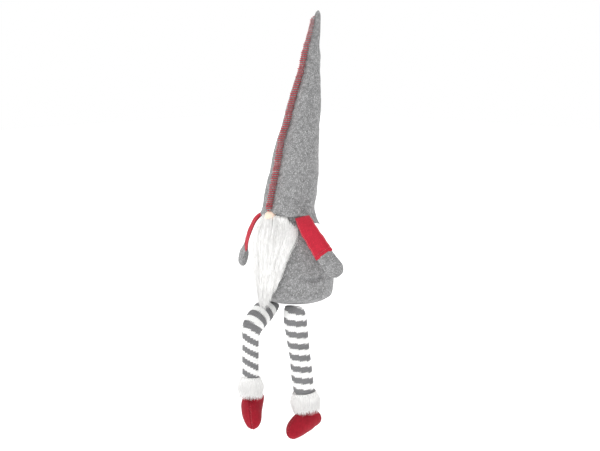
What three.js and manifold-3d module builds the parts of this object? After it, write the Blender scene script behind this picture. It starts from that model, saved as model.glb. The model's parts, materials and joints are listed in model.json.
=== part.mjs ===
// Felt gnome (tomte) with a tall stuffed hat, a long pile beard and dangling knitted legs.
// Millimetres, +Z up. The gnome faces -Y and its left side is +X.
// The origin is the middle of the flat seat under the body; the legs hang below it.
import * as THREE from "three";
import { mergeVertices } from "three/addons/utils/BufferGeometryUtils.js";
import Module from "manifold-3d";

const wasm = await Module();
wasm.setup();

// ---------------------------------------------------------------- driving dimensions
const FELT = 1.8; // thickness of the body and hat felt
const KNIT = 1.4; // thickness of the leg knit
const SLEEVE_FELT = 1.2; // thickness of the sleeve felt
const FIT = 0.4; // room between a skin and its filling
const SEAM = 0.3; // room left between two edges that are sewn together
const AROUND = 26; // facets around the body and the hat
const LIMB_AROUND = 14; // facets around a leg or a boot
const BEYOND = 99; // a cutting box reaches this far past the middle
const ABOVE_ALL = 199; // a cutting box reaches this high on the body
const OUTLINE_STEPS = 14; // facets along the outline of the body and the hat

// Body: radius and height along the spine, seat edge to crown.
const BODY_OUTLINE = [
  [26.2, 0],
  [37, 4],
  [43.5, 13],
  [45.6, 30],
  [44.8, 47],
  [41.6, 64],
  [36.8, 81],
  [31, 94],
  [27.2, 101],
  [26.4, 108],
  [25.3, 118],
  [19, 129],
  [9, 134],
  [0, 135],
];
const SEAT_OPENING = 24.8; // radius of the opening that the seat disc closes
const OPENING_CUT = [-5, 10]; // heights between which the opening is cut
const WEIGHT_BAG_TOP = 16;
// Weight bag: radius and height, bottom to top, above the seat disc.
const WEIGHT_BAG_SIDE = [
  [22, FELT + FIT],
  [29, 5.5],
  [31, 9.5],
  [27, WEIGHT_BAG_TOP - 2],
];
const FILLING_FLOOR_RADIUS = 41; // underside of the body's filling, on the weight bag

// Hat: radius and height above the brim.
const HAT_OUTLINE = [
  [32, 0],
  [31.6, 12],
  [30.8, 30],
  [29.6, 50],
  [26.6, 80],
  [23, 110],
  [18.5, 148],
  [13.6, 180],
  [8.6, 212],
  [5.4, 238],
  [3.4, 251],
  [0, 256],
];
const BRIM_HEIGHT = 103.5; // height of the brim's centre
const BRIM_FORWARD = 13; // how far the brim's centre sits ahead of the seat's centre
const BELLY_BACK = 17; // how strongly the belly is carried behind the line from seat to brim
const HAT_LEAN = THREE.MathUtils.degToRad(12); // the hat leans back
const HAT_FILL_FROM = 33; // the hat filling starts above the crown of the body
const HAT_HINGE = 130; // height of the hat's bend above the brim
const HAT_BALL = 24; // radius of the rounded end of the lower hat at the bend
const HAT_BEND_ROOM = THREE.MathUtils.degToRad(27); // wedge cut out of the seam at the bend
const HAT_BEND_CUT = [80, 20]; // reach and half width of that wedge
const HAT_MOUTH_CUT = 5; // the hollow runs this far out of the hat's mouth

// Raised seam down the front of the hat.
const FIN_DEPTH = 6.5;
const FIN_THICK = 3.6;
const FIN_FROM = 4;
const FIN_TO = 244;
const FIN_STEPS = 20;

// Nose and beard.
const NOSE_RADIUS = 6.6;
const NOSE_CENTRE = new THREE.Vector3(0, -30.9, 99.8); // before the body is bent along its spine
const BACKING_HALF_WIDTH = 24; // the beard's backing is let in under the brim this far each side
const BACKING_NOSE_GAP = 7.2; // and it leaves this much room each side of the middle for the nose
// Section of the backing: radius and height, going round it.
const BACKING_SECTION = [
  [29, 99.2],
  [29.9, 99.2],
  [29.3, 104.6],
  [28.4, 104.6],
  [29, 99.2],
];
const BEARD_PILE = 7;
const BEARD_STEPS = 7;
const BEARD_FRONT_STEPS = 6;
const BEARD_CUT = [5, 70]; // the front outline is cut from this far ahead of the spine, this deep
// Beard pile: inner radius and height along the spine, top to bottom.
const BEARD_INNER = [
  [34.9, 88],
  [38, 81],
  [42.8, 64],
  [46, 47],
  [46.9, 30],
  [46.9, 11],
];
// Beard pile seen from the front: half width and height.
const BEARD_FRONT = [
  [25, 90],
  [31, 79],
  [34, 60],
  [29, 38],
  [20, 11],
];

// Arms, in the arm's own axes: ACROSS runs level in the plane of the arm, OUT is the way it faces.
const ARM_TURN = THREE.MathUtils.degToRad(45);
const ARM_THICK = 5;
// Middle line of the sleeve as [across, out, up] from the neck's axis.
const SLEEVE_LINE = [
  [19, 29.6, 101.4],
  [22.5, 37, 99.6],
  [28, 43, 91.5],
  [35, 47.5, 79.5],
  [44.5, 51, 64.5],
];
const SLEEVE_WIDTHS = [19, 23.4]; // at the shoulder and at the wrist
const MITTEN_LINE = [
  [45.4, 51.3, 63.2],
  [53, 53.6, 53],
  [61.5, 55.2, 43.5],
];
const MITTEN_WIDTHS = [20, 24];
const MITTEN_THICK = 8;
const WRIST_ROLL = THREE.MathUtils.degToRad(38); // how far the wrist's width tips up
const SLEEVE_STEPS = 8;
const SLEEVE_MOUTH_CUT = 3; // the sleeve's hollow runs this far out of the wrist
const MITTEN_STEPS = 6;
const MITTEN_ROUND_FROM = 0.6; // share of the mitten's length where its end begins to round
const MITTEN_ROUND_OVER = 0.42;

// Legs.
const HIP = new THREE.Vector3(19, -21, -2.5); // left hip
const THIGH = 45; // hip seam to knee
const SHIN = 84; // knee to ankle
const LEG_RADIUS = 12.5;
const KNEE_MITRE = THREE.MathUtils.degToRad(49); // relief cut at the back of the knee, each side
// Thigh sections from the flat hip seam down: [depth below the hip, half width, half thickness].
const THIGH_SECTIONS = [
  [0, 12.6, 1.5],
  [9, 12.8, 5.6],
  [19, 12.6, 10],
  [30, 12.5, 12.2],
  [40, LEG_RADIUS, LEG_RADIUS],
  [62, LEG_RADIUS, LEG_RADIUS],
];
const THIGH_HOLLOW_FROM = 9; // above this depth the thigh is sewn flat and holds no filling
const KNEE_CUT = [60, 30]; // reach and half width of the solid that shapes the knee
const SHIN_ABOVE_KNEE = 25; // the shin's tube starts this far above the knee before it is cut
const BORE_PAST_END = 5; // a bore runs this far out of the end of its tube
const FILLING_SHORT = 0.5; // a filling stops this far short of the open end of its skin
const ANKLE_ROOM = 12; // the shin's knit stops this far above the ankle
const CUFF_FROM = 6; // bottom of the fur cuff above the ankle
const CUFF_TO = 22;
const CUFF_WALL = 3.4;
const CUFF_ROUND = [1, 4]; // how much the cuff's outer edges are taken off, across and down

// Boot side view, heel to toe: [distance behind the ankle, top, bottom, half width].
const BOOT_SECTIONS = [
  [12.6, -13, -19, 4],
  [11.2, -9.6, -23.4, 8.6],
  [8, -7.6, -25.6, 11.4],
  [1, -7, -26, 12.4],
  [-10, -7.6, -26, 12.5],
  [-20, -9.6, -26, 12.2],
  [-29, -11.6, -25.8, 11.4],
  [-36, -13.8, -24.4, 9],
  [-39.6, -16, -22, 5.4],
  [-40.8, -18, -20, 2.4],
];
const BOOT_NECK_RADIUS = 11.3;
const BOOT_NECK_TOP = -1;
const BOOT_NECK_HEIGHTS = [-18, -7, -4]; // below the neck's top
const BOOT_NECK_LIP = 0.6; // the neck's top is drawn in by this much
const BOOT_CUT = [30, 60]; // half width and reach of the boxes that part the boot's panels

const COLOURS = {
  greyFelt: 0x9b9ba1,
  redFelt: 0xc03a48,
  bootFelt: 0xa52234,
  knit: 0xe6e6e4,
  fur: 0xf6f4f0,
  nose: 0xe9c3a6,
  thread: 0xa5343c,
  fill: 0xf2f0ea,
  weight: 0xcfc6b4,
};

// ---------------------------------------------------------------- helpers
// A geometry as a manifold solid that faces out.
function solidFrom(geometry) {
  const plain = geometry.index ? geometry.toNonIndexed() : geometry.clone();
  plain.deleteAttribute("normal");
  plain.deleteAttribute("uv");
  const merged = mergeVertices(plain, 1e-4);
  const vertProperties = new Float32Array(merged.attributes.position.array);
  const triVerts = new Uint32Array(merged.index.array);
  const solid = new wasm.Manifold(new wasm.Mesh({ numProp: 3, vertProperties, triVerts }));
  if (solid.volume() > 0) return solid;
  const turned = triVerts.slice();
  for (let i = 0; i < turned.length; i += 3) {
    turned[i] = triVerts[i + 1];
    turned[i + 1] = triVerts[i];
  }
  return new wasm.Manifold(new wasm.Mesh({ numProp: 3, vertProperties, triVerts: turned }));
}

function geometryFrom(solid) {
  const mesh = solid.getMesh();
  const geometry = new THREE.BufferGeometry();
  geometry.setAttribute("position", new THREE.BufferAttribute(mesh.vertProperties, 3));
  geometry.setIndex(new THREE.BufferAttribute(mesh.triVerts, 1));
  geometry.computeVertexNormals();
  return geometry;
}

// Moves every vertex of a geometry by a function of its place.
function reshape(geometry, place) {
  const position = geometry.attributes.position;
  const point = new THREE.Vector3();
  for (let i = 0; i < position.count; i += 1) {
    point.fromBufferAttribute(position, i);
    place(point);
    position.setXYZ(i, point.x, point.y, point.z);
  }
  geometry.computeVertexNormals();
  return geometry;
}

function piece(name, geometry, colour, roughness = 0.95) {
  const material = new THREE.MeshStandardMaterial({ color: colour, roughness, metalness: 0 });
  const mesh = new THREE.Mesh(geometry, material);
  mesh.name = name;
  return mesh;
}

// A box given by its lowest and highest corners, as a solid.
function boxSolid(low, high) {
  const size = high.map((value, axis) => value - low[axis]);
  const geometry = new THREE.BoxGeometry(...size);
  geometry.translate(...low.map((value, axis) => value + size[axis] / 2));
  return solidFrom(geometry);
}

// A prism along X whose section is drawn in the YZ plane.
function prismAlongX(outline, halfWidth) {
  const shape = new THREE.Shape(outline.map(([y, z]) => new THREE.Vector2(y, z)));
  const geometry = new THREE.ExtrudeGeometry(shape, { depth: 2 * halfWidth, bevelEnabled: false });
  geometry.translate(0, 0, -halfWidth);
  return solidFrom(reshape(geometry, (p) => p.set(p.z, p.x, p.y)));
}

// A smooth outline through [radius, height] points, moved inwards by inset.
function smoothOutline(points, inset, steps) {
  const curve = new THREE.SplineCurve(points.map(([r, h]) => new THREE.Vector2(r, h)));
  const made = [];
  for (let i = 0; i <= steps; i += 1) {
    const at = curve.getPoint(i / steps);
    const along = curve.getTangent(i / steps);
    made.push(new THREE.Vector2(Math.max(at.x - along.y * inset, 0), at.y + along.x * inset));
  }
  return made;
}

// The outline of a flat disc between two heights, for turned().
function discOutline(radius, low, high) {
  return [
    new THREE.Vector2(0, low),
    new THREE.Vector2(radius, low),
    new THREE.Vector2(radius, high),
    new THREE.Vector2(0, high),
  ];
}

// Turns an outline of [radius, height] points around the Z axis.
function turned(outline) {
  const geometry = new THREE.LatheGeometry(outline, AROUND);
  geometry.rotateX(Math.PI / 2);
  return solidFrom(geometry);
}

// Rings joined into one closed solid. Each ring is { centre, across, thick, width, depth }.
function loft(rings, around = LIMB_AROUND) {
  const vertices = [];
  const faces = [];
  for (const ring of rings) {
    for (let i = 0; i < around; i += 1) {
      const turn = (2 * Math.PI * i) / around;
      const point = ring.centre.clone();
      point.addScaledVector(ring.across, ring.width * Math.cos(turn));
      point.addScaledVector(ring.thick, ring.depth * Math.sin(turn));
      vertices.push(point.x, point.y, point.z);
    }
  }
  for (let r = 0; r < rings.length - 1; r += 1) {
    for (let i = 0; i < around; i += 1) {
      const here = r * around + i;
      const next = r * around + ((i + 1) % around);
      faces.push(here, next, here + around);
      faces.push(next, next + around, here + around);
    }
  }
  const first = vertices.length / 3;
  for (const ring of [rings[0], rings.at(-1)]) {
    vertices.push(ring.centre.x, ring.centre.y, ring.centre.z);
  }
  const lastRing = (rings.length - 1) * around;
  for (let i = 0; i < around; i += 1) {
    const next = (i + 1) % around;
    faces.push(first, next, i);
    faces.push(first + 1, lastRing + i, lastRing + next);
  }
  const geometry = new THREE.BufferGeometry();
  geometry.setAttribute("position", new THREE.Float32BufferAttribute(vertices, 3));
  geometry.setIndex(faces);
  return solidFrom(geometry);
}

// ---------------------------------------------------------------- spine of body and hat
// Bends a straight solid so that its axis follows the body up to the brim, then the leaning hat.
function alongSpine(solid) {
  return reshape(geometryFrom(solid), (point) => {
    const { x: across, y: depth, z: height } = point;
    const q = Math.min(Math.max(height / BRIM_HEIGHT, 0), 1);
    const above = Math.max(height - BRIM_HEIGHT, 0);
    const lean = HAT_LEAN * THREE.MathUtils.smoothstep(q, 0.35, 1);
    point.x = across;
    point.y = -BRIM_FORWARD * q * q + BELLY_BACK * q * (1 - q) + above * Math.sin(HAT_LEAN);
    point.y += depth * Math.cos(lean);
    point.z = height - above * (1 - Math.cos(HAT_LEAN)) - depth * Math.sin(lean);
  });
}

// ---------------------------------------------------------------- body
// The body's outline drawn in by inset, closed by a flat floor of the given radius.
function bodySolid(inset, floor, floorRadius) {
  const wall = smoothOutline(BODY_OUTLINE, inset, OUTLINE_STEPS).filter((p) => p.y > floor + SEAM);
  const outline = [new THREE.Vector2(0, floor), new THREE.Vector2(floorRadius, floor), ...wall];
  outline.at(-1).x = 0;
  return turned(outline);
}

function makeBody(torso) {
  const opening = turned(discOutline(SEAT_OPENING, ...OPENING_CUT));
  const hollow = bodySolid(FELT, FELT, SEAT_OPENING);
  const shell = bodySolid(0, 0, BODY_OUTLINE[0][0]).subtract(hollow).subtract(opening);
  const front = shell.intersect(boxSolid([-BEYOND, -BEYOND, -BEYOND], [BEYOND, -SEAM / 2, ABOVE_ALL]));
  const back = shell.intersect(boxSolid([-BEYOND, SEAM / 2, -BEYOND], [BEYOND, BEYOND, ABOVE_ALL]));
  const disc = turned(discOutline(SEAT_OPENING - SEAM, 0, FELT));
  const bag = turned([
    new THREE.Vector2(0, FELT + FIT),
    ...WEIGHT_BAG_SIDE.map(([r, h]) => new THREE.Vector2(r, h)),
    new THREE.Vector2(0, WEIGHT_BAG_TOP),
  ]);
  const filling = bodySolid(FELT + FIT, WEIGHT_BAG_TOP + FIT, FILLING_FLOOR_RADIUS);
  torso.add(
    piece("seat_disc", alongSpine(disc), COLOURS.greyFelt),
    piece("body_front_panel", alongSpine(front), COLOURS.greyFelt),
    piece("body_back_panel", alongSpine(back), COLOURS.greyFelt),
    piece("weight_bag", alongSpine(bag), COLOURS.weight),
    piece("body_stuffing", alongSpine(filling), COLOURS.fill),
  );
}

// ---------------------------------------------------------------- hat
const HAT_RAISED = HAT_OUTLINE.map(([r, h]) => [r, h + BRIM_HEIGHT]);

function hatSolid(inset, floor) {
  const wall = smoothOutline(HAT_RAISED, inset, OUTLINE_STEPS).filter((p) => p.y > floor + 0.5);
  const first = new THREE.Vector2(wall[0].x, floor);
  const outline = [new THREE.Vector2(0, floor), first, ...wall];
  outline.at(-1).x = 0;
  return turned(outline);
}

// The seam allowance stands out from the front of the hat between two radii.
function finSolid() {
  const edge = smoothOutline(HAT_RAISED, 0, FIN_STEPS).filter((p) => {
    const above = p.y - BRIM_HEIGHT;
    return above >= FIN_FROM && above <= FIN_TO;
  });
  const outer = edge.map((p) => [-p.x - FIN_DEPTH, p.y]);
  const inner = edge.map((p) => [-p.x - FIT, p.y]).reverse();
  return prismAlongX([...outer, ...inner], FIN_THICK / 2);
}

function makeHat(torso, hatTip) {
  const bend = BRIM_HEIGHT + HAT_HINGE;
  const below = boxSolid([-BEYOND, -BEYOND, -BEYOND], [BEYOND, BEYOND, bend]);
  const ball = (radius) => solidFrom(new THREE.SphereGeometry(radius, AROUND, 12).translate(0, 0, bend));
  const lowerMask = below.add(ball(HAT_BALL));
  const upperMask = below.add(ball(HAT_BALL + FIT));
  const shell = hatSolid(0, BRIM_HEIGHT).subtract(hatSolid(FELT, BRIM_HEIGHT - HAT_MOUTH_CUT));
  const filling = hatSolid(FELT + FIT, BRIM_HEIGHT + HAT_FILL_FROM);
  const [reach, halfWidth] = HAT_BEND_CUT;
  const rise = reach * Math.tan(HAT_BEND_ROOM);
  const bendWedge = prismAlongX([[0, bend], [-reach, bend + rise], [-reach, 0], [0, 0]], halfWidth);
  const fin = finSolid();
  const tipFin = fin.subtract(bendWedge).subtract(ball(HAT_BALL + FIT));
  torso.add(
    piece("hat_felt_lower", alongSpine(shell.intersect(lowerMask)), COLOURS.greyFelt),
    piece("hat_stuffing_lower", alongSpine(filling.intersect(lowerMask)), COLOURS.fill),
    piece("hat_seam_lower", alongSpine(fin.intersect(below)), COLOURS.thread),
  );
  hatTip.add(
    piece("hat_felt_tip", alongSpine(shell.subtract(upperMask)), COLOURS.greyFelt),
    piece("hat_stuffing_tip", alongSpine(filling.subtract(upperMask)), COLOURS.fill),
    piece("hat_seam_tip", alongSpine(tipFin), COLOURS.thread),
  );
}

// ---------------------------------------------------------------- nose and beard
function makeFace(torso, beard) {
  const [x, y, z] = NOSE_CENTRE.toArray();
  const ball = solidFrom(new THREE.SphereGeometry(NOSE_RADIUS, 18, 10).translate(x, y, z));
  const underBrim = boxSolid([-20, y - 20, z - 20], [20, 0, BRIM_HEIGHT - FIT]);
  const nose = ball.intersect(underBrim).subtract(bodySolid(-FIT, -FIT, BODY_OUTLINE[0][0]));
  torso.add(piece("nose", alongSpine(nose), COLOURS.nose, 0.8));

  const backingBand = turned(BACKING_SECTION.map(([r, h]) => new THREE.Vector2(r, h)));
  const backings = [
    ["left", BACKING_NOSE_GAP, BACKING_HALF_WIDTH],
    ["right", -BACKING_HALF_WIDTH, -BACKING_NOSE_GAP],
  ];
  for (const [side, low, high] of backings) {
    const half = backingBand.intersect(boxSolid([low, -BEYOND, 0], [high, 0, ABOVE_ALL]));
    torso.add(piece(`beard_backing_${side}`, alongSpine(half), COLOURS.fur));
  }

  const inner = smoothOutline(BEARD_INNER, 0, BEARD_STEPS);
  const outer = inner.map((p) => new THREE.Vector2(p.x + BEARD_PILE, p.y));
  const ring = turned([...inner.reverse(), ...outer, inner[0].clone()]);
  const front = new THREE.SplineCurve(BEARD_FRONT.map(([w, h]) => new THREE.Vector2(w, h)));
  const edge = front.getPoints(BEARD_FRONT_STEPS);
  const mirrored = edge.map((p) => new THREE.Vector2(-p.x, p.y)).reverse();
  const [ahead, depth] = BEARD_CUT;
  const shape = new THREE.Shape([...edge, ...mirrored]);
  const plate = new THREE.ExtrudeGeometry(shape, { depth, bevelEnabled: false });
  plate.rotateX(Math.PI / 2);
  plate.translate(0, -ahead, 0);
  beard.add(piece("beard_pile", alongSpine(ring.intersect(solidFrom(plate))), COLOURS.fur));
}

// ---------------------------------------------------------------- arms
// side is 1 for the gnome's left arm and -1 for its right.
function armPoint([across, out, up], side) {
  const x = across * Math.cos(ARM_TURN) + out * Math.sin(ARM_TURN);
  const y = across * Math.sin(ARM_TURN) - out * Math.cos(ARM_TURN);
  return new THREE.Vector3(side * x, -BRIM_FORWARD + y, up);
}

function armRings(line, widths, thickness, side, steps, roll) {
  const curve = new THREE.CatmullRomCurve3(line.map((at) => armPoint(at, side)));
  const level = new THREE.Vector3(side * Math.cos(ARM_TURN), Math.sin(ARM_TURN), 0);
  const rings = [];
  for (let i = 0; i <= steps; i += 1) {
    const q = i / steps;
    const along = curve.getTangentAt(q);
    const tip = roll(q);
    const across = level.clone().multiplyScalar(Math.cos(tip)).setZ(Math.sin(tip));
    across.addScaledVector(along, -across.dot(along)).normalize();
    const thick = new THREE.Vector3().crossVectors(along, across);
    const width = THREE.MathUtils.lerp(widths[0], widths[1], q) / 2;
    rings.push({ centre: curve.getPointAt(q), across, thick, width, depth: thickness / 2 });
  }
  return rings;
}

function shrunk(rings, by) {
  return rings.map((ring) => ({ ...ring, width: ring.width - by, depth: ring.depth - by }));
}

function makeArm(arm, side, sideName) {
  const roll = (q) => WRIST_ROLL * THREE.MathUtils.smoothstep(q, 0, 0.9);
  const rings = armRings(SLEEVE_LINE, SLEEVE_WIDTHS, ARM_THICK, side, SLEEVE_STEPS, roll);
  const lining = shrunk(rings, SLEEVE_FELT).slice(1);
  const wrist = lining.at(-1);
  const beyond = wrist.centre.clone().sub(lining.at(-2).centre).normalize().multiplyScalar(SLEEVE_MOUTH_CUT);
  const outside = { ...wrist, centre: wrist.centre.clone().add(beyond) };
  const sleeve = loft(rings).subtract(loft([...lining, outside]));
  const batting = loft(shrunk(rings, SLEEVE_FELT + FIT).slice(2, -1));
  const steps = MITTEN_STEPS;
  const mittenRings = armRings(MITTEN_LINE, MITTEN_WIDTHS, MITTEN_THICK, side, steps, () => WRIST_ROLL);
  mittenRings.forEach((ring, i) => {
    const q = i / steps;
    const rounding = Math.max(q - MITTEN_ROUND_FROM, 0) / MITTEN_ROUND_OVER;
    ring.depth *= 0.5 + 0.5 * Math.sin(Math.PI * Math.min(q * 1.25 + 0.1, 1) * 0.93);
    ring.width *= Math.sqrt(1 - rounding ** 2);
  });
  arm.add(
    piece(`sleeve_${sideName}`, geometryFrom(sleeve), COLOURS.redFelt),
    piece(`sleeve_batting_${sideName}`, geometryFrom(batting), COLOURS.fill),
    piece(`mitten_${sideName}`, geometryFrom(loft(mittenRings)), COLOURS.greyFelt),
  );
}

// ---------------------------------------------------------------- legs
const ACROSS = new THREE.Vector3(1, 0, 0);
const FORE_AND_AFT = new THREE.Vector3(0, 1, 0);
const UP = new THREE.Vector3(0, 0, 1);

// A leg tube from [depth, half width, half thickness] sections, from a start depth down.
function legTube(sections, inset, from) {
  const rings = sections.map(([down, halfWidth, halfThick]) => ({
    centre: new THREE.Vector3(0, 0, -down),
    across: ACROSS,
    thick: FORE_AND_AFT,
    width: halfWidth - inset,
    depth: halfThick - inset,
  }));
  return loft(rings.filter((ring) => -ring.centre.z >= from && ring.depth > 0.4));
}

// What lies past the knee's mitre: 1 cuts the lower end of the thigh, -1 the upper end of the shin.
function pastKnee(sign, room) {
  const [far, halfWidth] = KNEE_CUT;
  return prismAlongX(
    [
      [-far, sign * room],
      [0, sign * room],
      [far * Math.cos(KNEE_MITRE), sign * (far * Math.sin(KNEE_MITRE) + room)],
      [far, -sign * far],
      [-far, -sign * far],
    ],
    halfWidth,
  );
}

function makeThigh(thigh, sideName) {
  const kneeCut = geometryFrom(pastKnee(1, FIT / 2)).translate(0, 0, -THIGH);
  const beyondKnee = solidFrom(kneeCut);
  const skin = legTube(THIGH_SECTIONS, 0, 0).subtract(legTube(THIGH_SECTIONS, KNIT, THIGH_HOLLOW_FROM));
  const filling = legTube(THIGH_SECTIONS, KNIT + FIT, THIGH_HOLLOW_FROM);
  thigh.add(
    piece(`thigh_knit_${sideName}`, geometryFrom(skin.subtract(beyondKnee)), COLOURS.knit),
    piece(`thigh_stuffing_${sideName}`, geometryFrom(filling.subtract(beyondKnee)), COLOURS.fill),
  );
}

function makeShin(shin, sideName) {
  const down = SHIN - ANKLE_ROOM;
  const straight = (top, bottom) => [
    [top, LEG_RADIUS, LEG_RADIUS],
    [(top + bottom) / 2, LEG_RADIUS, LEG_RADIUS],
    [bottom, LEG_RADIUS, LEG_RADIUS],
  ];
  const beyondKnee = pastKnee(-1, FIT / 2);
  const start = -SHIN_ABOVE_KNEE;
  const outer = legTube(straight(start, down), 0, start);
  const boreStart = start - BORE_PAST_END;
  const bore = legTube(straight(boreStart, down + BORE_PAST_END), KNIT, boreStart);
  const filling = legTube(straight(start, down - FILLING_SHORT), KNIT + FIT, start);
  const cuffInner = LEG_RADIUS + FIT;
  const cuffOuter = cuffInner + CUFF_WALL;
  const [edge, round] = CUFF_ROUND;
  const cuff = new THREE.LatheGeometry(
    [
      new THREE.Vector2(cuffInner, CUFF_FROM),
      new THREE.Vector2(cuffOuter - edge, CUFF_FROM),
      new THREE.Vector2(cuffOuter, CUFF_FROM + round),
      new THREE.Vector2(cuffOuter, CUFF_TO - round),
      new THREE.Vector2(cuffOuter - edge, CUFF_TO),
      new THREE.Vector2(cuffInner, CUFF_TO),
      new THREE.Vector2(cuffInner, CUFF_FROM),
    ],
    LIMB_AROUND,
  );
  cuff.rotateX(Math.PI / 2).translate(0, 0, -SHIN);
  const knit = outer.subtract(bore).subtract(beyondKnee);
  shin.add(
    piece(`shin_knit_${sideName}`, geometryFrom(knit), COLOURS.knit),
    piece(`shin_stuffing_${sideName}`, geometryFrom(filling.subtract(beyondKnee)), COLOURS.fill),
    piece(`fur_cuff_${sideName}`, geometryFrom(solidFrom(cuff)), COLOURS.fur),
  );
}

// The boot with its neck, drawn in by inset; the neck runs on to neckTop.
function bootSolid(inset, neckTop) {
  const sections = inset > 0 ? BOOT_SECTIONS.slice(1, -1) : BOOT_SECTIONS;
  const heel = BOOT_SECTIONS[0][0] - inset * 1.2;
  const toe = BOOT_SECTIONS.at(-1)[0] + inset * 1.2;
  const rings = sections.map(([behind, top, bottom, halfWidth]) => ({
    centre: new THREE.Vector3(0, THREE.MathUtils.clamp(behind, toe, heel), (top + bottom) / 2),
    across: ACROSS,
    thick: UP,
    width: halfWidth - inset,
    depth: (top - bottom) / 2 - inset,
  }));
  const neckRadius = BOOT_NECK_RADIUS - inset;
  const neckRing = (height, radius) => ({
    centre: new THREE.Vector3(0, 0, height),
    across: ACROSS,
    thick: FORE_AND_AFT,
    width: radius,
    depth: radius,
  });
  const neck = BOOT_NECK_HEIGHTS.map((height) => neckRing(height, neckRadius));
  const lip = inset === 0 ? BOOT_NECK_LIP : 0;
  return loft(rings).add(loft([...neck, neckRing(neckTop, neckRadius - lip)]));
}

function makeFoot(foot, side, sideName) {
  const shell = bootSolid(0, BOOT_NECK_TOP).subtract(bootSolid(FELT, BOOT_NECK_TOP + BORE_PAST_END));
  const filling = bootSolid(FELT + FIT, BOOT_NECK_TOP - FILLING_SHORT);
  const [halfWidth, reach] = BOOT_CUT;
  const rightHalf = boxSolid([-halfWidth, -reach, -reach], [-SEAM / 2, reach, reach]);
  const leftHalf = boxSolid([SEAM / 2, -reach, -reach], [halfWidth, reach, reach]);
  const innerPanel = shell.intersect(side > 0 ? rightHalf : leftHalf);
  const outerPanel = shell.intersect(side > 0 ? leftHalf : rightHalf);
  foot.add(
    piece(`boot_inner_panel_${sideName}`, geometryFrom(innerPanel), COLOURS.bootFelt),
    piece(`boot_outer_panel_${sideName}`, geometryFrom(outerPanel), COLOURS.bootFelt),
    piece(`boot_stuffing_${sideName}`, geometryFrom(filling), COLOURS.fill),
  );
}

// How each leg is held: degrees of hip swing forward, knee bend, ankle droop and inward foot turn.
const LEG_POSES = [
  { sideName: "left", side: 1, hip: -9.5, knee: 0, ankle: 12.5, turn: 0 },
  { sideName: "right", side: -1, hip: 60, knee: 60, ankle: 47, turn: 32 },
];

function makeLeg({ sideName, side, hip, knee, ankle, turn }) {
  const thigh = new THREE.Group();
  thigh.position.set(side * HIP.x, HIP.y, HIP.z);
  thigh.rotation.x = -THREE.MathUtils.degToRad(hip);
  const shin = new THREE.Group();
  shin.position.z = -THIGH;
  shin.rotation.x = THREE.MathUtils.degToRad(knee);
  const twist = new THREE.Group();
  twist.position.z = -SHIN;
  twist.rotation.z = -side * THREE.MathUtils.degToRad(turn);
  const foot = new THREE.Group();
  foot.rotation.x = THREE.MathUtils.degToRad(ankle);
  makeThigh(thigh, sideName);
  makeShin(shin, sideName);
  makeFoot(foot, side, sideName);
  twist.add(foot);
  shin.add(twist);
  thigh.add(shin);
  return thigh;
}

// ---------------------------------------------------------------- the gnome
const gnome = new THREE.Group();
gnome.name = "gnome";
const torso = new THREE.Group();
const hatTip = new THREE.Group();
const beard = new THREE.Group();
makeBody(torso);
makeHat(torso, hatTip);
makeFace(torso, beard);
gnome.add(torso, hatTip, beard);
for (const { sideName, side } of LEG_POSES) {
  const arm = new THREE.Group();
  makeArm(arm, side, sideName);
  gnome.add(arm);
}
for (const pose of LEG_POSES) gnome.add(makeLeg(pose));

export default gnome;
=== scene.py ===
"""A felt gnome: tall stuffed hat, long pile beard, felt arms, and striped knitted legs with fur-cuffed boots.

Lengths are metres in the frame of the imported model: +Z up, the gnome faces -Y and its left side is +X.
The origin is the middle of the seat under the body.
"""

import json
import logging
import math
from dataclasses import dataclass
from enum import Enum
from typing import Sequence

import bmesh
import bpy
import numpy as np
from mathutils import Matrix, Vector
from mathutils.bvhtree import BVHTree
from mathutils import noise as value_noise


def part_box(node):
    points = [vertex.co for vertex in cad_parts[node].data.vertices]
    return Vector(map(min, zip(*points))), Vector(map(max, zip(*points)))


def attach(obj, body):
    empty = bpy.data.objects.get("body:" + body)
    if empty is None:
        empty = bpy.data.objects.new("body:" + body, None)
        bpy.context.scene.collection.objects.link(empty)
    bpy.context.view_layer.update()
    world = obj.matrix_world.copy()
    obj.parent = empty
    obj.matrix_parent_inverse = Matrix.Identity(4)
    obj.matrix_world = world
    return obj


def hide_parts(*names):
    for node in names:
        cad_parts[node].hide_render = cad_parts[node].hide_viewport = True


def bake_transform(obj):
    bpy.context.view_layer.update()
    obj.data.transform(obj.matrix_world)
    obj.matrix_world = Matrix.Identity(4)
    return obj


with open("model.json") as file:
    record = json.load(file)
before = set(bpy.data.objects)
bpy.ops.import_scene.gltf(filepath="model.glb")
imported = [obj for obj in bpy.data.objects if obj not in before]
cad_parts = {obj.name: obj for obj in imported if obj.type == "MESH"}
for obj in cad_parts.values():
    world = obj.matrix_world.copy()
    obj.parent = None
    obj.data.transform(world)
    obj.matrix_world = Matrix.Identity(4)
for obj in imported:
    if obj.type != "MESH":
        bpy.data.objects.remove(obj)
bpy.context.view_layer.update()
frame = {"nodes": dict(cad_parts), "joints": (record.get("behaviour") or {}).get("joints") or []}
JOINT_PLACES = {joint["name"]: joint["pos_m"] for joint in frame["joints"]}

Array = np.ndarray
Point = tuple[float, float, float]
MM = 0.001
UP = np.array([0.0, 0.0, 1.0])
log = logging.getLogger("gnome")


class Side(Enum):
    """The gnome's own left and right; the value is the sign of X."""

    LEFT = 1
    RIGHT = -1

    @property
    def word(self) -> str:
        """The side's name as the CAD nodes and bodies spell it."""
        return self.name.lower()


# ---------------------------------------------------------------- numbers and shapes


def unit(vectors: Array) -> Array:
    """Vectors at length one, row by row."""
    return vectors / np.maximum(np.linalg.norm(vectors, axis=-1, keepdims=True), 1e-12)


def smoothstep(values: Array, low: float, high: float) -> Array:
    """Zero below low, one above high and smooth between."""
    t = np.clip((np.asarray(values, float) - low) / (high - low), 0.0, 1.0)
    return t * t * (3.0 - 2.0 * t)


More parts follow.
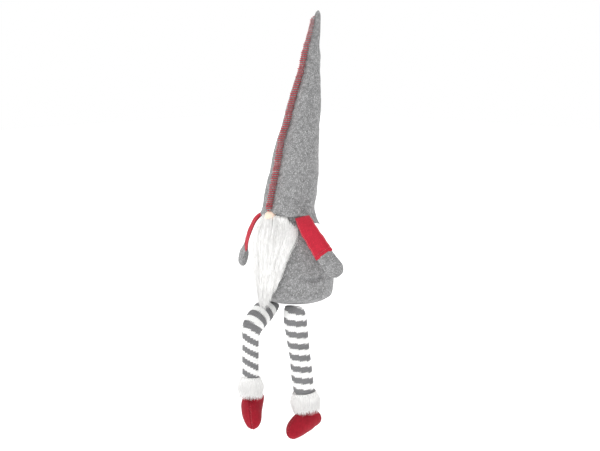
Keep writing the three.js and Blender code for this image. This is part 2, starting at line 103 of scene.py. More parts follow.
def through(points: Sequence[Sequence[float]], steps: int) -> Array:
    """A smooth line through a few points.

    Args:
        points: the points, in any number of dimensions.
        steps: how many equal stretches of its own parameter the line is sampled in.

    Returns:
        An array of steps + 1 points on a Catmull-Rom curve.
    """
    p = np.asarray(points, float)
    p = np.vstack([2 * p[0] - p[1], p, 2 * p[-1] - p[-2]])
    at = np.linspace(0, len(p) - 3 - 1e-9, steps + 1)
    i = at.astype(int)
    t = (at - i)[:, None]
    a, b, c, d = p[i], p[i + 1], p[i + 2], p[i + 3]
    return 0.5 * (2 * b + (c - a) * t + (2 * a - 5 * b + 4 * c - d) * t**2 + (3 * b - a - 3 * c + d) * t**3)


def evenly(line: Array, count: int) -> Array:
    """The same line with its points at equal distances along it.

    Args:
        line: the points that it passes.
        count: how many places along it.

    Returns:
        Points at even distances.
    """
    gaps = np.linalg.norm(np.diff(line, axis=0), axis=1)
    run = np.concatenate([[0.0], np.cumsum(gaps)])
    wanted = np.linspace(0, run[-1], count)
    return np.stack([np.interp(wanted, run, line[:, k]) for k in range(line.shape[1])], axis=1)


def lumps(points: Array, size: float, seed: float) -> Array:
    """Smooth noise from -1 to 1 at each point; size is the width of one lump in metres."""
    shift = Vector((seed * 7.31, seed * 3.17, seed * 5.71))
    values = [value_noise.noise(Vector(p) / size + shift) for p in points.reshape(-1, 3)]
    return np.array(values).reshape(points.shape[:-1])


def mesh_object(name: str, vertices: Array, faces: Sequence[Sequence[int]]) -> bpy.types.Object:
    """A linked mesh object with smooth faces, standing at the origin.

    Args:
        name: its name.
        vertices: its points.
        faces: its faces, as indices of points.

    Returns:
        The new object, linked to the scene.
    """
    mesh = bpy.data.meshes.new(name)
    mesh.from_pydata(vertices.reshape(-1, 3).tolist(), [], faces)
    mesh.update()
    mesh.shade_smooth()
    made = bpy.data.objects.new(name, mesh)
    bpy.context.scene.collection.objects.link(made)
    return made


def ring_faces(rings: int, around: int, start: int = 0) -> list[tuple[int, ...]]:
    """Quads between neighbouring rings of a tube, wound so that a ring's own turn faces out.

    Args:
        rings: the rings of points that it is made of.
        around: how many points go around.
        start: the index of the first point.

    Returns:
        The faces between the rings.
    """
    found = []
    for r in range(rings - 1):
        for i in range(around):
            j = (i + 1) % around
            low = start + r * around
            found.append((low + i, low + j, low + around + j, low + around + i))
    return found


def tube(name: str, rings: Array) -> bpy.types.Object:
    """A closed tube through rings of points, with a pole at each end.

    Args:
        name: the object's name.
        rings: an array of ring, turn and coordinate.

    Returns:
        The mesh object, facing out.
    """
    count, around = rings.shape[:2]
    poles = np.stack([rings[0].mean(0), rings[-1].mean(0)])
    vertices = np.vstack([rings.reshape(-1, 3), poles])
    faces = ring_faces(count, around)
    low, high = count * around, count * around + 1
    last = (count - 1) * around
    for i in range(around):
        j = (i + 1) % around
        faces.append((low, j, i))
        faces.append((high, last + i, last + j))
    made = mesh_object(name, vertices, faces)
    face_out(made)
    return made


def face_out(piece: bpy.types.Object) -> None:
    """Turns every face of a closed piece outwards.

    Args:
        piece: the piece to work on.
    """
    work = bmesh.new()
    work.from_mesh(piece.data)
    bmesh.ops.recalc_face_normals(work, faces=work.faces)
    work.to_mesh(piece.data)
    work.free()


def store(piece: bpy.types.Object, name: str, values: Array) -> None:
    """Writes one number for each vertex as a named attribute."""
    layer = piece.data.attributes.new(name, "FLOAT", "POINT")
    layer.data.foreach_set("value", np.asarray(values, np.float32).ravel())


def places(piece: bpy.types.Object) -> Array:
    """The vertices of a piece as an array.

    Args:
        piece: the piece to work on.

    Returns:
        The points as an array.
    """
    flat = np.empty(len(piece.data.vertices) * 3, np.float32)
    piece.data.vertices.foreach_get("co", flat)
    return flat.reshape(-1, 3).astype(float)


def move_to(piece: bpy.types.Object, points: Array) -> None:
    """Puts the vertices of a piece at new places."""
    piece.data.vertices.foreach_set("co", np.asarray(points, np.float32).ravel())
    piece.data.update()


def nearest_on(piece: bpy.types.Object, points: Array) -> tuple[Array, Array]:
    """The nearest places on a piece to some points, and the ways out there.

    Args:
        piece: the piece to work on.
        points: the points to look at.

    Returns:
        Places on the piece and unit ways out.
    """
    surface = BVHTree.FromObject(piece, bpy.context.evaluated_depsgraph_get())
    found = [surface.find_nearest(Vector(p)) for p in points]
    return np.array([hit[0] for hit in found]), unit(np.array([hit[1] for hit in found]))


def drop(piece: bpy.types.Object) -> None:
    """Removes a helper object and its mesh.

    Args:
        piece: the helper to remove.
    """
    mesh = piece.data
    bpy.data.objects.remove(piece)
    bpy.data.meshes.remove(mesh)


def joined(first: bpy.types.Object, parts: list[bpy.types.Object]) -> None:
    """Joins parts into the first of them."""
    chosen = {"selected_editable_objects": parts, "selected_objects": parts}
    with bpy.context.temp_override(active_object=first, **chosen):
        bpy.ops.object.join()


def baked(host: bpy.types.Object, name: str) -> bpy.types.Object:
    """Takes a piece as its modifiers leave it.

    Args:
        host: the object with the modifiers, which is dropped.
        name: the new object's name.

    Returns:
        A plain mesh object that keeps the attributes.
    """
    bpy.context.view_layer.update()
    seen = bpy.context.evaluated_depsgraph_get()
    shown = host.evaluated_get(seen)
    mesh = bpy.data.meshes.new_from_object(shown, preserve_all_data_layers=True, depsgraph=seen)
    mesh.name = name
    mesh.shade_smooth()
    for label in ("out", "along", "size", "taper"):
        if label in mesh.attributes:
            mesh.attributes.remove(mesh.attributes[label])
    made = bpy.data.objects.new(name, mesh)
    bpy.context.scene.collection.objects.link(made)
    drop(host)
    return made


@dataclass(frozen=True)
class Stuffing:
    """Cloth blown out by its filling: lets a ringed skin settle and tells how far it moved."""

    pressure: float = 4.0
    slack: float = 0.03  # how much larger the cloth is cut than the shape it starts from
    most: float = 5 * MM  # the furthest that any point may move
    frames: int = 20
    rows: int = 30
    columns: int = 36

    def settle(self, rings: Array, held: tuple[float, float]) -> Array:
        """Runs the cloth on a coarse copy of the rings.

        Args:
            rings: an array of ring, turn and coordinate.
            held: the shares of the rings at the start and at the end that stay where they are.
        """
        count, around = rings.shape[:2]
        row = np.unique(np.linspace(0, count - 1, self.rows).astype(int))
        column = np.arange(0, around, around // self.columns)
        start = rings[np.ix_(row, column)]
        skin = tube("settling", start)
        share = np.repeat(row / (count - 1), len(column))
        pinned = np.nonzero((share <= held[0]) | (share >= 1 - held[1]))[0].tolist()
        pins = skin.vertex_groups.new(name="held")
        pins.add(pinned + [len(share), len(share) + 1], 1.0, "REPLACE")
        cloth = skin.modifiers.new("settle", "CLOTH")
        rules = cloth.settings
        rules.quality = 8
        rules.mass = 0.15
        rules.tension_stiffness = 12
        rules.compression_stiffness = 12
        rules.shear_stiffness = 4
        rules.bending_stiffness = 0.25
        rules.use_pressure = True
        rules.uniform_pressure_force = self.pressure
        rules.shrink_min = -self.slack
        rules.vertex_group_mass = "held"
        rules.effector_weights.gravity = 0
        cloth.point_cache.frame_start = 1
        cloth.point_cache.frame_end = self.frames
        scene = bpy.context.scene
        for step in range(1, self.frames + 1):
            scene.frame_set(step)
        settled = skin.evaluated_get(bpy.context.evaluated_depsgraph_get())
        moved = np.array([v.co for v in settled.data.vertices])[: len(share)].reshape(start.shape) - start
        scene.frame_set(1)
        drop(skin)
        far = np.linalg.norm(moved, axis=-1, keepdims=True)
        log.info("cloth: the furthest point moved %.1f mm", far.max() * 1000)
        moved = moved * np.minimum(1, self.most / np.maximum(far, 1e-9))
        return self.refine(moved, row, column, count, around)

    @staticmethod
    def refine(moved: Array, row: Array, column: Array, count: int, around: int) -> Array:
        """Spreads the coarse movement smoothly over all points of the rings.

        Args:
            moved: the coarse movement, row by row.
            row: the rows that it stands for.
            column: the columns that it stands for.
            count: how many rows there are in all.
            around: how many points go around.

        Returns:
            The movement of every point.
        """
        closed = np.concatenate([moved, moved[:, :1]], axis=1)
        turns = np.append(column, around)
        every_turn, every_row = np.arange(around), np.arange(count)
        wide = np.empty((len(row), around, 3))
        full = np.empty((count, around, 3))
        for k in range(3):
            for r in range(len(row)):
                wide[r, :, k] = np.interp(every_turn, turns, closed[r, :, k])
            for c in range(around):
                full[:, c, k] = np.interp(every_row, row, wide[:, c, k])
        for _ in range(3):
            full = (np.roll(full, 1, 1) + 2 * full + np.roll(full, -1, 1)) / 4
            padded_rows = np.concatenate([full[:1], full, full[-1:]])
            full = (padded_rows[:-2] + 2 * full + padded_rows[2:]) / 4
        return full


# ---------------------------------------------------------------- finishes


class Nodes:
    """Builds a material's node tree: each call adds a node and wires its inputs."""

    def __init__(self, name: str) -> None:
        """Starts a material with an empty tree.

        Args:
            name: its name.
        """
        self.material = bpy.data.materials.new(name)
        self.material.use_nodes = True
        self.tree = self.material.node_tree
        self.tree.nodes.clear()
        self.coordinates = self.add("ShaderNodeTexCoord").outputs["Object"]

    def add(self, kind: str, settings: dict | None = None, **inputs: object) -> bpy.types.Node:
        """Adds one node.

        Args:
            kind: the node's type name.
            settings: properties of the node itself.
            inputs: values or output sockets for its inputs; a name's underscores stand for spaces.

        Returns:
            The new node.
        """
        node = self.tree.nodes.new(kind)
        for key, value in (settings or {}).items():
            setattr(node, key, value)
        for key, value in inputs.items():
            socket = node.inputs[int(key[1:])] if key[0] == "_" else node.inputs[key.replace("_", " ")]
            if isinstance(value, bpy.types.NodeSocket):
                self.tree.links.new(value, socket)
            else:
                socket.default_value = value
        return node

    def noise(
        self, scale: float, detail: float = 2.0, rough: float = 0.5, at: object = None
    ) -> bpy.types.NodeSocket:
        """Noise over the object's own coordinates; scale counts lumps in a metre."""
        sizes = {"Scale": scale, "Detail": detail, "Roughness": rough}
        return self.add("ShaderNodeTexNoise", Vector=at or self.coordinates, **sizes).outputs["Fac"]

    def spread(
        self, value: object, low: float, high: float, out_low: float = 0.0, out_high: float = 1.0
    ) -> bpy.types.NodeSocket:
        """Stretches low..high of a value to out_low..out_high, held at both ends."""
        return self.add("ShaderNodeMapRange", _0=value, _1=low, _2=high, _3=out_low, _4=out_high).outputs[0]

    def math(self, operation: str, first: object, second: object = 0.0) -> bpy.types.NodeSocket:
        """One step of arithmetic."""
        return self.add("ShaderNodeMath", {"operation": operation}, _0=first, _1=second).outputs[0]

    def mix(self, share: object, first: object, second: object, kind: str = "MIX") -> bpy.types.NodeSocket:
        """Blends two colours by a share."""
        settings = {"data_type": "RGBA", "blend_type": kind}
        return self.add("ShaderNodeMix", settings, _0=share, _6=first, _7=second).outputs[2]

    def bump(self, height: object, depth: float, strength: float = 1.0) -> bpy.types.NodeSocket:
        """A bump normal from a height."""
        return self.add("ShaderNodeBump", Height=height, Distance=depth, Strength=strength).outputs["Normal"]

    def finish(self, **inputs: object) -> bpy.types.Material:
        """Ends the tree in one Principled surface with these inputs.

        Args:
            inputs: the inputs to set, by name.

        Returns:
            The material.
        """
        shader = self.add("ShaderNodeBsdfPrincipled", **inputs)
        out = self.add("ShaderNodeOutputMaterial")
        self.tree.links.new(shader.outputs[0], out.inputs["Surface"])
        return self.material


def tone(colour: Sequence[float], factor: float) -> tuple[float, float, float, float]:
    """A colour made lighter or darker, as four numbers."""
    r, g, b = (min(max(c * factor, 0.0), 1.0) for c in colour[:3])
    return (r, g, b, 1.0)


@dataclass(frozen=True)
class FeltFinish:
    """Pressed wool: mottled, flecked with light and dark fibres, and dull."""

    name: str
    colour: Point
    mottle: float = 0.12  # how far the tone wanders over a centimetre
    fleck: float = 0.3  # how far single fibres stand out
    sheen: float = 0.25

    def material(self) -> bpy.types.Material:
        """The felt as a material.

        Returns:
            A new material.
        """
        n = Nodes(self.name)
        cloud = n.noise(90, 3, 0.6)
        wool = n.noise(240, 4, 0.75)
        fine = n.noise(760, 4, 0.75)
        where = n.coordinates
        stretched = n.add("ShaderNodeMapping", Vector=where, Scale=(1.0, 1.0, 0.3), Rotation=(0.5, 0.3, 0.2))
        fibres = n.noise(1500, 2, 0.6, stretched.outputs[0])
        crossing = n.add("ShaderNodeMapping", Vector=where, Scale=(0.3, 1.0, 1.0), Rotation=(0.2, 0.6, 0.9))
        cross_fibres = n.noise(1300, 2, 0.6, crossing.outputs[0])
        patches = tone(self.colour, 1 - self.mottle), tone(self.colour, 1 + self.mottle)
        body = n.mix(n.spread(cloud, 0.3, 0.7), *patches)
        body = n.mix(n.spread(wool, 0.6, 0.36, 0.0, 0.75), body, tone(self.colour, 1 - 1.25 * self.fleck))
        body = n.mix(n.spread(fine, 0.32, 0.68), tone(self.colour, 1 - self.fleck), body)
        light = n.spread(fibres, 0.56, 0.72, 0.0, 0.75)
        body = n.mix(light, body, tone(self.colour, 1 + 1.7 * self.fleck))
        dark = n.spread(cross_fibres, 0.58, 0.74, 0.0, 0.7)
        body = n.mix(dark, body, tone(self.colour, 1 - 1.5 * self.fleck))
        height = n.math("ADD", fine, n.math("MULTIPLY", fibres, 0.6))
        normal = n.bump(height, 0.0006, 0.6)
        return n.finish(
            Base_Color=body, Roughness=0.93, Normal=normal, Specular_IOR_Level=0.2,
            Sheen_Weight=self.sheen, Sheen_Roughness=0.5,
        )


@dataclass(frozen=True)
class PileFinish:
    """Long white pile: bright hair, with painted shade that greys it between the locks."""

    name: str
    colour: Point
    shadow: float = 0.8
    glow: float = 0.1  # stands for the light that scatters from hair to hair

    def material(self) -> bpy.types.Material:
        """The pile as a material.

        Returns:
            A new material.
        """
        n = Nodes(self.name)
        drawn = n.add("ShaderNodeMapping", Vector=n.coordinates, Scale=(1.0, 1.0, 0.12))
        locks = n.noise(900, 3, 0.6, drawn.outputs[0])
        # painted shade: streaks between the locks darken to the shadow share of the colour
        colour = n.mix(n.spread(locks, 0.35, 0.65), tone(self.colour, self.shadow), tone(self.colour, 1.0))
        return n.finish(
            Base_Color=colour, Roughness=0.55, Specular_IOR_Level=0.35,
            Sheen_Weight=0.3, Sheen_Roughness=0.4,
            Emission_Color=(1.0, 0.995, 0.98, 1.0), Emission_Strength=self.glow,
        )


@dataclass(frozen=True)
class KnitFinish:
    """Plain knit in two yarns; the stripe attribute runs along the leg in stripe pitches."""

    name: str
    ground: Point
    stripe: Point
    share: float = 0.51  # how much of each pitch is stripe

    def material(self) -> bpy.types.Material:
        """The knit as a material.

        Returns:
            A new material.
        """
        n = Nodes(self.name)
        along = n.add("ShaderNodeAttribute", {"attribute_name": "stripe"}).outputs["Fac"]
        phase = n.math("ABSOLUTE", n.math("SUBTRACT", n.math("FRACT", along), 0.5))
        edge = n.math("ADD", phase, n.math("MULTIPLY", n.math("SUBTRACT", n.noise(260), 0.5), 0.05))
        inside = n.spread(edge, self.share / 2 + 0.01, self.share / 2 - 0.01)
        fluff = n.noise(1400, 3, 0.7)
        ground = n.mix(fluff, tone(self.ground, 0.93), tone(self.ground, 1.03))
        stripe = n.mix(n.spread(fluff, 0.3, 0.7), tone(self.stripe, 0.72), tone(self.stripe, 1.3))
        return n.finish(
            Base_Color=n.mix(inside, ground, stripe), Roughness=0.85, Normal=n.bump(fluff, 0.0004, 0.5),
            Specular_IOR_Level=0.25, Sheen_Weight=0.3, Sheen_Roughness=0.5,
        )


@dataclass(frozen=True)
class ThreadFinish:
    """Sewing thread or smooth cloth with a fine even grain."""

    name: str
    colour: Point
    grain: float = 2600.0
    contrast: float = 0.25
    rough: float = 0.6

    def material(self) -> bpy.types.Material:
        """The thread as a material.

        Returns:
            A new material.
        """
        n = Nodes(self.name)
        grain = n.noise(self.grain, 3, 0.6)
        wide = n.noise(180, 2)
        dark, light = tone(self.colour, 1 - self.contrast), tone(self.colour, 1 + self.contrast)
        colour = n.mix(n.spread(grain, 0.3, 0.7), dark, light)
        colour = n.mix(n.spread(wide, 0.35, 0.65, 0.0, 0.35), colour, tone(self.colour, 1 + self.contrast))
        return n.finish(
            Base_Color=colour, Roughness=self.rough, Normal=n.bump(grain, 0.0003, 0.4),
            Specular_IOR_Level=0.3, Sheen_Weight=0.15,
        )


GREY_FELT = FeltFinish("grey_felt", (0.4, 0.4, 0.403), mottle=0.2, fleck=0.62, sheen=0.12)
RED_FELT = FeltFinish("red_felt", (0.53, 0.022, 0.045), mottle=0.12, fleck=0.24, sheen=0.06)
BOOT_FELT = FeltFinish("boot_felt", (0.33, 0.009, 0.022), mottle=0.16, fleck=0.24, sheen=0.06)
WHITE_PILE = PileFinish("white_pile", (0.95, 0.945, 0.935), shadow=0.74)
# greyer white pile whose darker tone is painted shade, for the ground under the beard's long hairs and inside
# the fur cuffs
BEARD_SHADOW = PileFinish("beard_ground", (0.85, 0.845, 0.83), shadow=0.6, glow=0.0)
STRIPED_KNIT = KnitFinish("striped_knit", (0.97, 0.97, 0.96), (0.235, 0.235, 0.24))
NOSE_CLOTH = ThreadFinish("nose_cloth", (0.86, 0.66, 0.53), grain=1500, contrast=0.06, rough=0.75)
RED_THREAD = ThreadFinish("red_thread", (0.42, 0.035, 0.05), contrast=0.35)
RED_SEWING = ThreadFinish("red_sewing", (0.62, 0.12, 0.14), contrast=0.2)
GREY_THREAD = ThreadFinish("grey_thread", (0.2, 0.2, 0.21))
BAG_CLOTH = ThreadFinish("weight_cloth", (0.62, 0.56, 0.46), grain=1600, contrast=0.15, rough=0.9)


class Wardrobe:
    """Makes each finish's material once and puts it on pieces."""

    def __init__(self) -> None:
        """Starts with no materials made."""
        self.made: dict[str, bpy.types.Material] = {}

    def material(self, finish: FeltFinish | PileFinish | KnitFinish | ThreadFinish) -> bpy.types.Material:
        """The material of a finish, made the first time it is asked for.

        Args:
            finish: the finish that it takes.

        Returns:
            The material of the finish.
        """
        if finish.name not in self.made:
            self.made[finish.name] = finish.material()
        return self.made[finish.name]

    def dress(self, piece: bpy.types.Object, finish: object) -> bpy.types.Object:
        """Puts one finish on a whole piece."""
        piece.data.materials.clear()
        piece.data.materials.append(self.material(finish))
        return piece


WARDROBE = Wardrobe()


# ---------------------------------------------------------------- repeats by Geometry Nodes


class Repeater:
    """A Geometry Nodes tree that sets one small unit on every vertex of a mesh.

    Each vertex carries its own axes and size as the attributes out, along and size.
    """

    def __init__(self) -> None:
        """Builds the tree with its named inputs."""
        tree = bpy.data.node_groups.new("repeat_unit", "GeometryNodeTree")
        face = tree.interface
        face.new_socket("Geometry", in_out="INPUT", socket_type="NodeSocketGeometry")
        self.unit_id = face.new_socket("Unit", in_out="INPUT", socket_type="NodeSocketObject").identifier
        self.size_id = face.new_socket("Size", in_out="INPUT", socket_type="NodeSocketFloat").identifier
        jitter = face.new_socket("Size Jitter", in_out="INPUT", socket_type="NodeSocketFloat")
        self.jitter_id = jitter.identifier
        self.seed_id = face.new_socket("Seed", in_out="INPUT", socket_type="NodeSocketInt").identifier
        finish = face.new_socket("Finish", in_out="INPUT", socket_type="NodeSocketMaterial")
        self.finish_id = finish.identifier
        face.new_socket("Geometry", in_out="OUTPUT", socket_type="NodeSocketGeometry")
        self.tree = tree
        given = self._add("NodeGroupInput")
        out_axis = self._read("out", "FLOAT_VECTOR")
        along_axis = self._read("along", "FLOAT_VECTOR")
        own_size = self._read("size", "FLOAT")
        turn = self._add("FunctionNodeAxesToRotation", primary_axis="Z", secondary_axis="X")
        self._wire(out_axis, turn.inputs[0])
        self._wire(along_axis, turn.inputs[1])
        wander = self._add("FunctionNodeRandomValue", data_type="FLOAT")
        spread = self._add("ShaderNodeMath", operation="MULTIPLY")
        low = self._add("ShaderNodeMath", operation="SUBTRACT")
        high = self._add("ShaderNodeMath", operation="ADD")
        low.inputs[0].default_value = 1.0
        high.inputs[0].default_value = 1.0
        self._wire(given.outputs["Size Jitter"], low.inputs[1])
        self._wire(given.outputs["Size Jitter"], high.inputs[1])
        self._wire(low.outputs[0], wander.inputs[2])
        self._wire(high.outputs[0], wander.inputs[3])
        self._wire(given.outputs["Seed"], wander.inputs[8])
        self._wire(wander.outputs[1], spread.inputs[0])
        total = self._add("ShaderNodeMath", operation="MULTIPLY")
        self._wire(given.outputs["Size"], spread.inputs[1])
        self._wire(spread.outputs[0], total.inputs[0])
        self._wire(own_size, total.inputs[1])
        info = self._add("GeometryNodeObjectInfo", transform_space="ORIGINAL")
        self._wire(given.outputs["Unit"], info.inputs["Object"])
        place = self._add("GeometryNodeInstanceOnPoints")
        self._wire(given.outputs["Geometry"], place.inputs["Points"])
        self._wire(info.outputs["Geometry"], place.inputs["Instance"])
        self._wire(turn.outputs[0], place.inputs["Rotation"])
        self._wire(total.outputs[0], place.inputs["Scale"])
        real = self._add("GeometryNodeRealizeInstances")
        self._wire(place.outputs[0], real.inputs[0])
        paint = self._add("GeometryNodeSetMaterial")
        self._wire(real.outputs[0], paint.inputs["Geometry"])
        self._wire(given.outputs["Finish"], paint.inputs["Material"])
        last = self._add("NodeGroupOutput")
        self._wire(paint.outputs[0], last.inputs[0])

    def _add(self, kind: str, **settings: object) -> bpy.types.Node:
        """Adds a node with its own settings."""
        node = self.tree.nodes.new(kind)
        for key, value in settings.items():
            setattr(node, key, value)
        return node

    def _wire(self, source: bpy.types.NodeSocket, target: bpy.types.NodeSocket) -> None:
        """Joins two sockets."""
        self.tree.links.new(source, target)

    def _read(self, name: str, kind: str) -> bpy.types.NodeSocket:
        """The output of a node that reads a named attribute.

        Args:
            name: its name.
            kind: the kind of node or value.

        Returns:
            The value read.
        """
        node = self._add("GeometryNodeInputNamedAttribute", data_type=kind)
        node.inputs["Name"].default_value = name
        return node.outputs["Attribute"]

    def spread(
        self,
        name: str,
        piece_unit: bpy.types.Object,
        points: Array,
        out: Array,
        along: Array,
        finish: object,
        sizes: Array | None = None,
        jitter: float = 0.0,
        seed: int = 1,
        extra: dict[str, Array] | None = None,
    ) -> bpy.types.Object:
        """Sets the unit on every point and returns the result as one plain mesh.

        Args:
            name: the new piece's name.
            piece_unit: the small mesh to repeat; its Z is set along out and its X along along.
            points: where the units stand.
            out: the direction of each unit's Z.
            along: the direction of each unit's X.
            finish: the finish that the units get.
            sizes: a size for each unit, one if left out.
            jitter: the random share by which sizes differ.
            seed: the seed of that randomness.
            extra: further numbers that each unit carries to its vertices.

        Returns:
            A plain mesh object with the modifier removed.
        """
        host = mesh_object(name + "_points", points, [])
        for label, values in (("out", out), ("along", along)):
            layer = host.data.attributes.new(label, "FLOAT_VECTOR", "POINT")
            layer.data.foreach_set("vector", np.asarray(values, np.float32).ravel())
        store(host, "size", np.ones(len(points)) if sizes is None else sizes)
        for label, values in (extra or {}).items():
            store(host, label, values)
        modifier = host.modifiers.new("repeat", "NODES")
        modifier.node_group = self.tree
        modifier[self.unit_id] = piece_unit
        modifier[self.size_id] = 1.0
        modifier[self.jitter_id] = jitter
        modifier[self.seed_id] = seed
        modifier[self.finish_id] = WARDROBE.material(finish)
        return baked(host, name)


def thread_unit(
    name: str, line: Sequence[Point], radius: float, sides: int = 5, steps: int = 8
) -> bpy.types.Object:
    """A short closed thread along a line, as a unit for the repeater.

    Args:
        name: the unit's name.
        line: the points that the thread passes.
        radius: half its thickness.
        sides: its facets around.
        steps: its rings along.

    Returns:
        The unit, which the caller drops when the repeats are made.
    """
    path = through(line, steps)
    return tube(name, swept(path, radius * np.ones(len(path)), sides, np.array([0.0, 0.0, 1.0])))


def swept(path: Array, radii: Array, sides: int, hint: Array) -> Array:
    """Round rings along a path, with the ends drawn in to close softly.

    Args:
        path: the middle line.
        radii: the radius at each point of it.
        sides: how many points a ring has.
        hint: a direction that the path doesn't run along.

    Returns:
        The rings as an array.
    """
    ahead = unit(np.gradient(path, axis=0))
    across = unit(np.cross(ahead, hint))
    other = np.cross(ahead, across)
    turn = np.linspace(0, 2 * np.pi, sides, endpoint=False)
    ring = np.cos(turn)[None, :, None] * across[:, None] + np.sin(turn)[None, :, None] * other[:, None]
    return path[:, None] + ring * radii[:, None, None]


class Strands:
    """A Geometry Nodes tree that turns a mesh of edges into closed tapering hairs."""

    def __init__(self) -> None:
        """Builds the tree with its named inputs."""
        tree = bpy.data.node_groups.new("edges_to_hairs", "GeometryNodeTree")
        face = tree.interface
        face.new_socket("Geometry", in_out="INPUT", socket_type="NodeSocketGeometry")
        self.radius_id = face.new_socket("Radius", in_out="INPUT", socket_type="NodeSocketFloat").identifier
        finish = face.new_socket("Finish", in_out="INPUT", socket_type="NodeSocketMaterial")
        self.finish_id = finish.identifier
        face.new_socket("Geometry", in_out="OUTPUT", socket_type="NodeSocketGeometry")
        self.tree = tree
        given = tree.nodes.new("NodeGroupInput")
        taper = tree.nodes.new("GeometryNodeInputNamedAttribute")
        taper.data_type = "FLOAT"
        taper.inputs["Name"].default_value = "taper"
        line = tree.nodes.new("GeometryNodeMeshToCurve")
        ring = tree.nodes.new("GeometryNodeCurvePrimitiveCircle")
        ring.inputs["Resolution"].default_value = 3
        swell = tree.nodes.new("GeometryNodeCurveToMesh")
        swell.inputs["Fill Caps"].default_value = True
        real = tree.nodes.new("GeometryNodeRealizeInstances")
        paint = tree.nodes.new("GeometryNodeSetMaterial")
        last = tree.nodes.new("NodeGroupOutput")
        tree.links.new(given.outputs["Geometry"], line.inputs[0])
        tree.links.new(given.outputs["Radius"], ring.inputs["Radius"])
        tree.links.new(ring.outputs[0], swell.inputs["Profile Curve"])
        if "Scale" in swell.inputs:
            tree.links.new(line.outputs[0], swell.inputs["Curve"])
            tree.links.new(taper.outputs["Attribute"], swell.inputs["Scale"])
        else:
            thick = tree.nodes.new("GeometryNodeSetCurveRadius")
            tree.links.new(line.outputs[0], thick.inputs["Curve"])
            tree.links.new(taper.outputs["Attribute"], thick.inputs["Radius"])
            tree.links.new(thick.outputs[0], swell.inputs["Curve"])
        tree.links.new(swell.outputs[0], real.inputs[0])
        tree.links.new(real.outputs[0], paint.inputs["Geometry"])
        tree.links.new(given.outputs["Finish"], paint.inputs["Material"])
        tree.links.new(paint.outputs[0], last.inputs[0])

    def grow(self, name: str, lines: Array, radius: float, finish: object) -> bpy.types.Object:
        """Makes one hair along each line.

        Args:
            name: the new piece's name.
            lines: an array of hair, point and coordinate.
            radius: half the thickness of a hair at its thickest.
            finish: the finish of the hairs.

        Returns:
            A plain mesh object with the modifier removed.
        """
        count, points = lines.shape[:2]
        mesh = bpy.data.meshes.new(name + "_lines")
        first = (np.arange(count)[:, None] * points + np.arange(points - 1)[None]).ravel()
        mesh.from_pydata(lines.reshape(-1, 3).tolist(), np.stack([first, first + 1], 1).tolist(), [])
        host = bpy.data.objects.new(name + "_lines", mesh)
        bpy.context.scene.collection.objects.link(host)
        t = np.linspace(0, 1, points)
        taper = 0.55 + 0.45 * np.sin(np.pi * np.minimum(t * 1.6, 1) * 0.5)
        taper = taper * (1 - smoothstep(t, 0.55, 1.0) * 0.88)
        store(host, "taper", np.tile(taper, count))
        modifier = host.modifiers.new("hairs", "NODES")
        modifier.node_group = self.tree
        modifier[self.radius_id] = radius
        modifier[self.finish_id] = WARDROBE.material(finish)
        return baked(host, name)


REPEATER = Repeater()
STRANDS = Strands()


# ---------------------------------------------------------------- the frame's own measures


def low_high(node: str) -> tuple[Array, Array]:
    """The low and high corners of a CAD node's box."""
    low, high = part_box(node)
    return np.array(low), np.array(high)


def anchor(joint: str) -> Array:
    """The point that a joint turns about."""
    return np.array(JOINT_PLACES[joint])


def turn_x(angle: float) -> Array:
    """The matrix that turns by an angle about X."""
    c, s = math.cos(angle), math.sin(angle)
    return np.array([[1, 0, 0], [0, c, -s], [0, s, c]])


def turn_z(angle: float) -> Array:
    """The matrix that turns by an angle about Z."""
    c, s = math.cos(angle), math.sin(angle)
    return np.array([[c, -s, 0], [s, c, 0], [0, 0, 1]])


@dataclass(frozen=True)
class Spine:
    """The bent middle line of body and hat: carries a straight turned shape onto it."""

    brim_height: float = 103.5 * MM
    brim_forward: float = 13 * MM
    belly_back: float = 17 * MM
    lean: float = math.radians(12)

    def bend(self, across: Array, depth: Array, height: Array) -> Array:
        """Points of the straight shape, carried onto the spine.

        Args:
            across: distances to the gnome's left.
            depth: distances backwards from the axis.
            height: heights above the seat.

        Returns:
            The points in the frame.
        """
        q = np.clip(height / self.brim_height, 0, 1)
        above = np.maximum(height - self.brim_height, 0)
        lean = self.lean * smoothstep(q, 0.35, 1.0)
        y = -self.brim_forward * q * q + self.belly_back * q * (1 - q)
        y = y + above * math.sin(self.lean) + depth * np.cos(lean)
        z = height - above * (1 - math.cos(self.lean)) - depth * np.sin(lean)
        return np.stack(np.broadcast_arrays(across, y, z), axis=-1)

    def at(self, radius: Array, turn: Array, height: Array) -> Array:
        """Points at a radius and turn about the spine; turn 0 faces forward and grows to the gnome's left."""
        return self.bend(radius * np.sin(turn), -radius * np.cos(turn), height)


SPINE = Spine()


def outline_through(points: Sequence[Sequence[float]], steps: int) -> Array:
    """An outline given in millimetres as radius and height, smooth and evenly spaced in metres."""
    return evenly(through(np.array(points) * MM, steps), steps + 1)


def gap_to(turn: Array, place: float) -> Array:
    """The turn from a place about the spine, between -pi and pi."""
    return (turn - place + np.pi) % (2 * np.pi) - np.pi


# ---------------------------------------------------------------- body


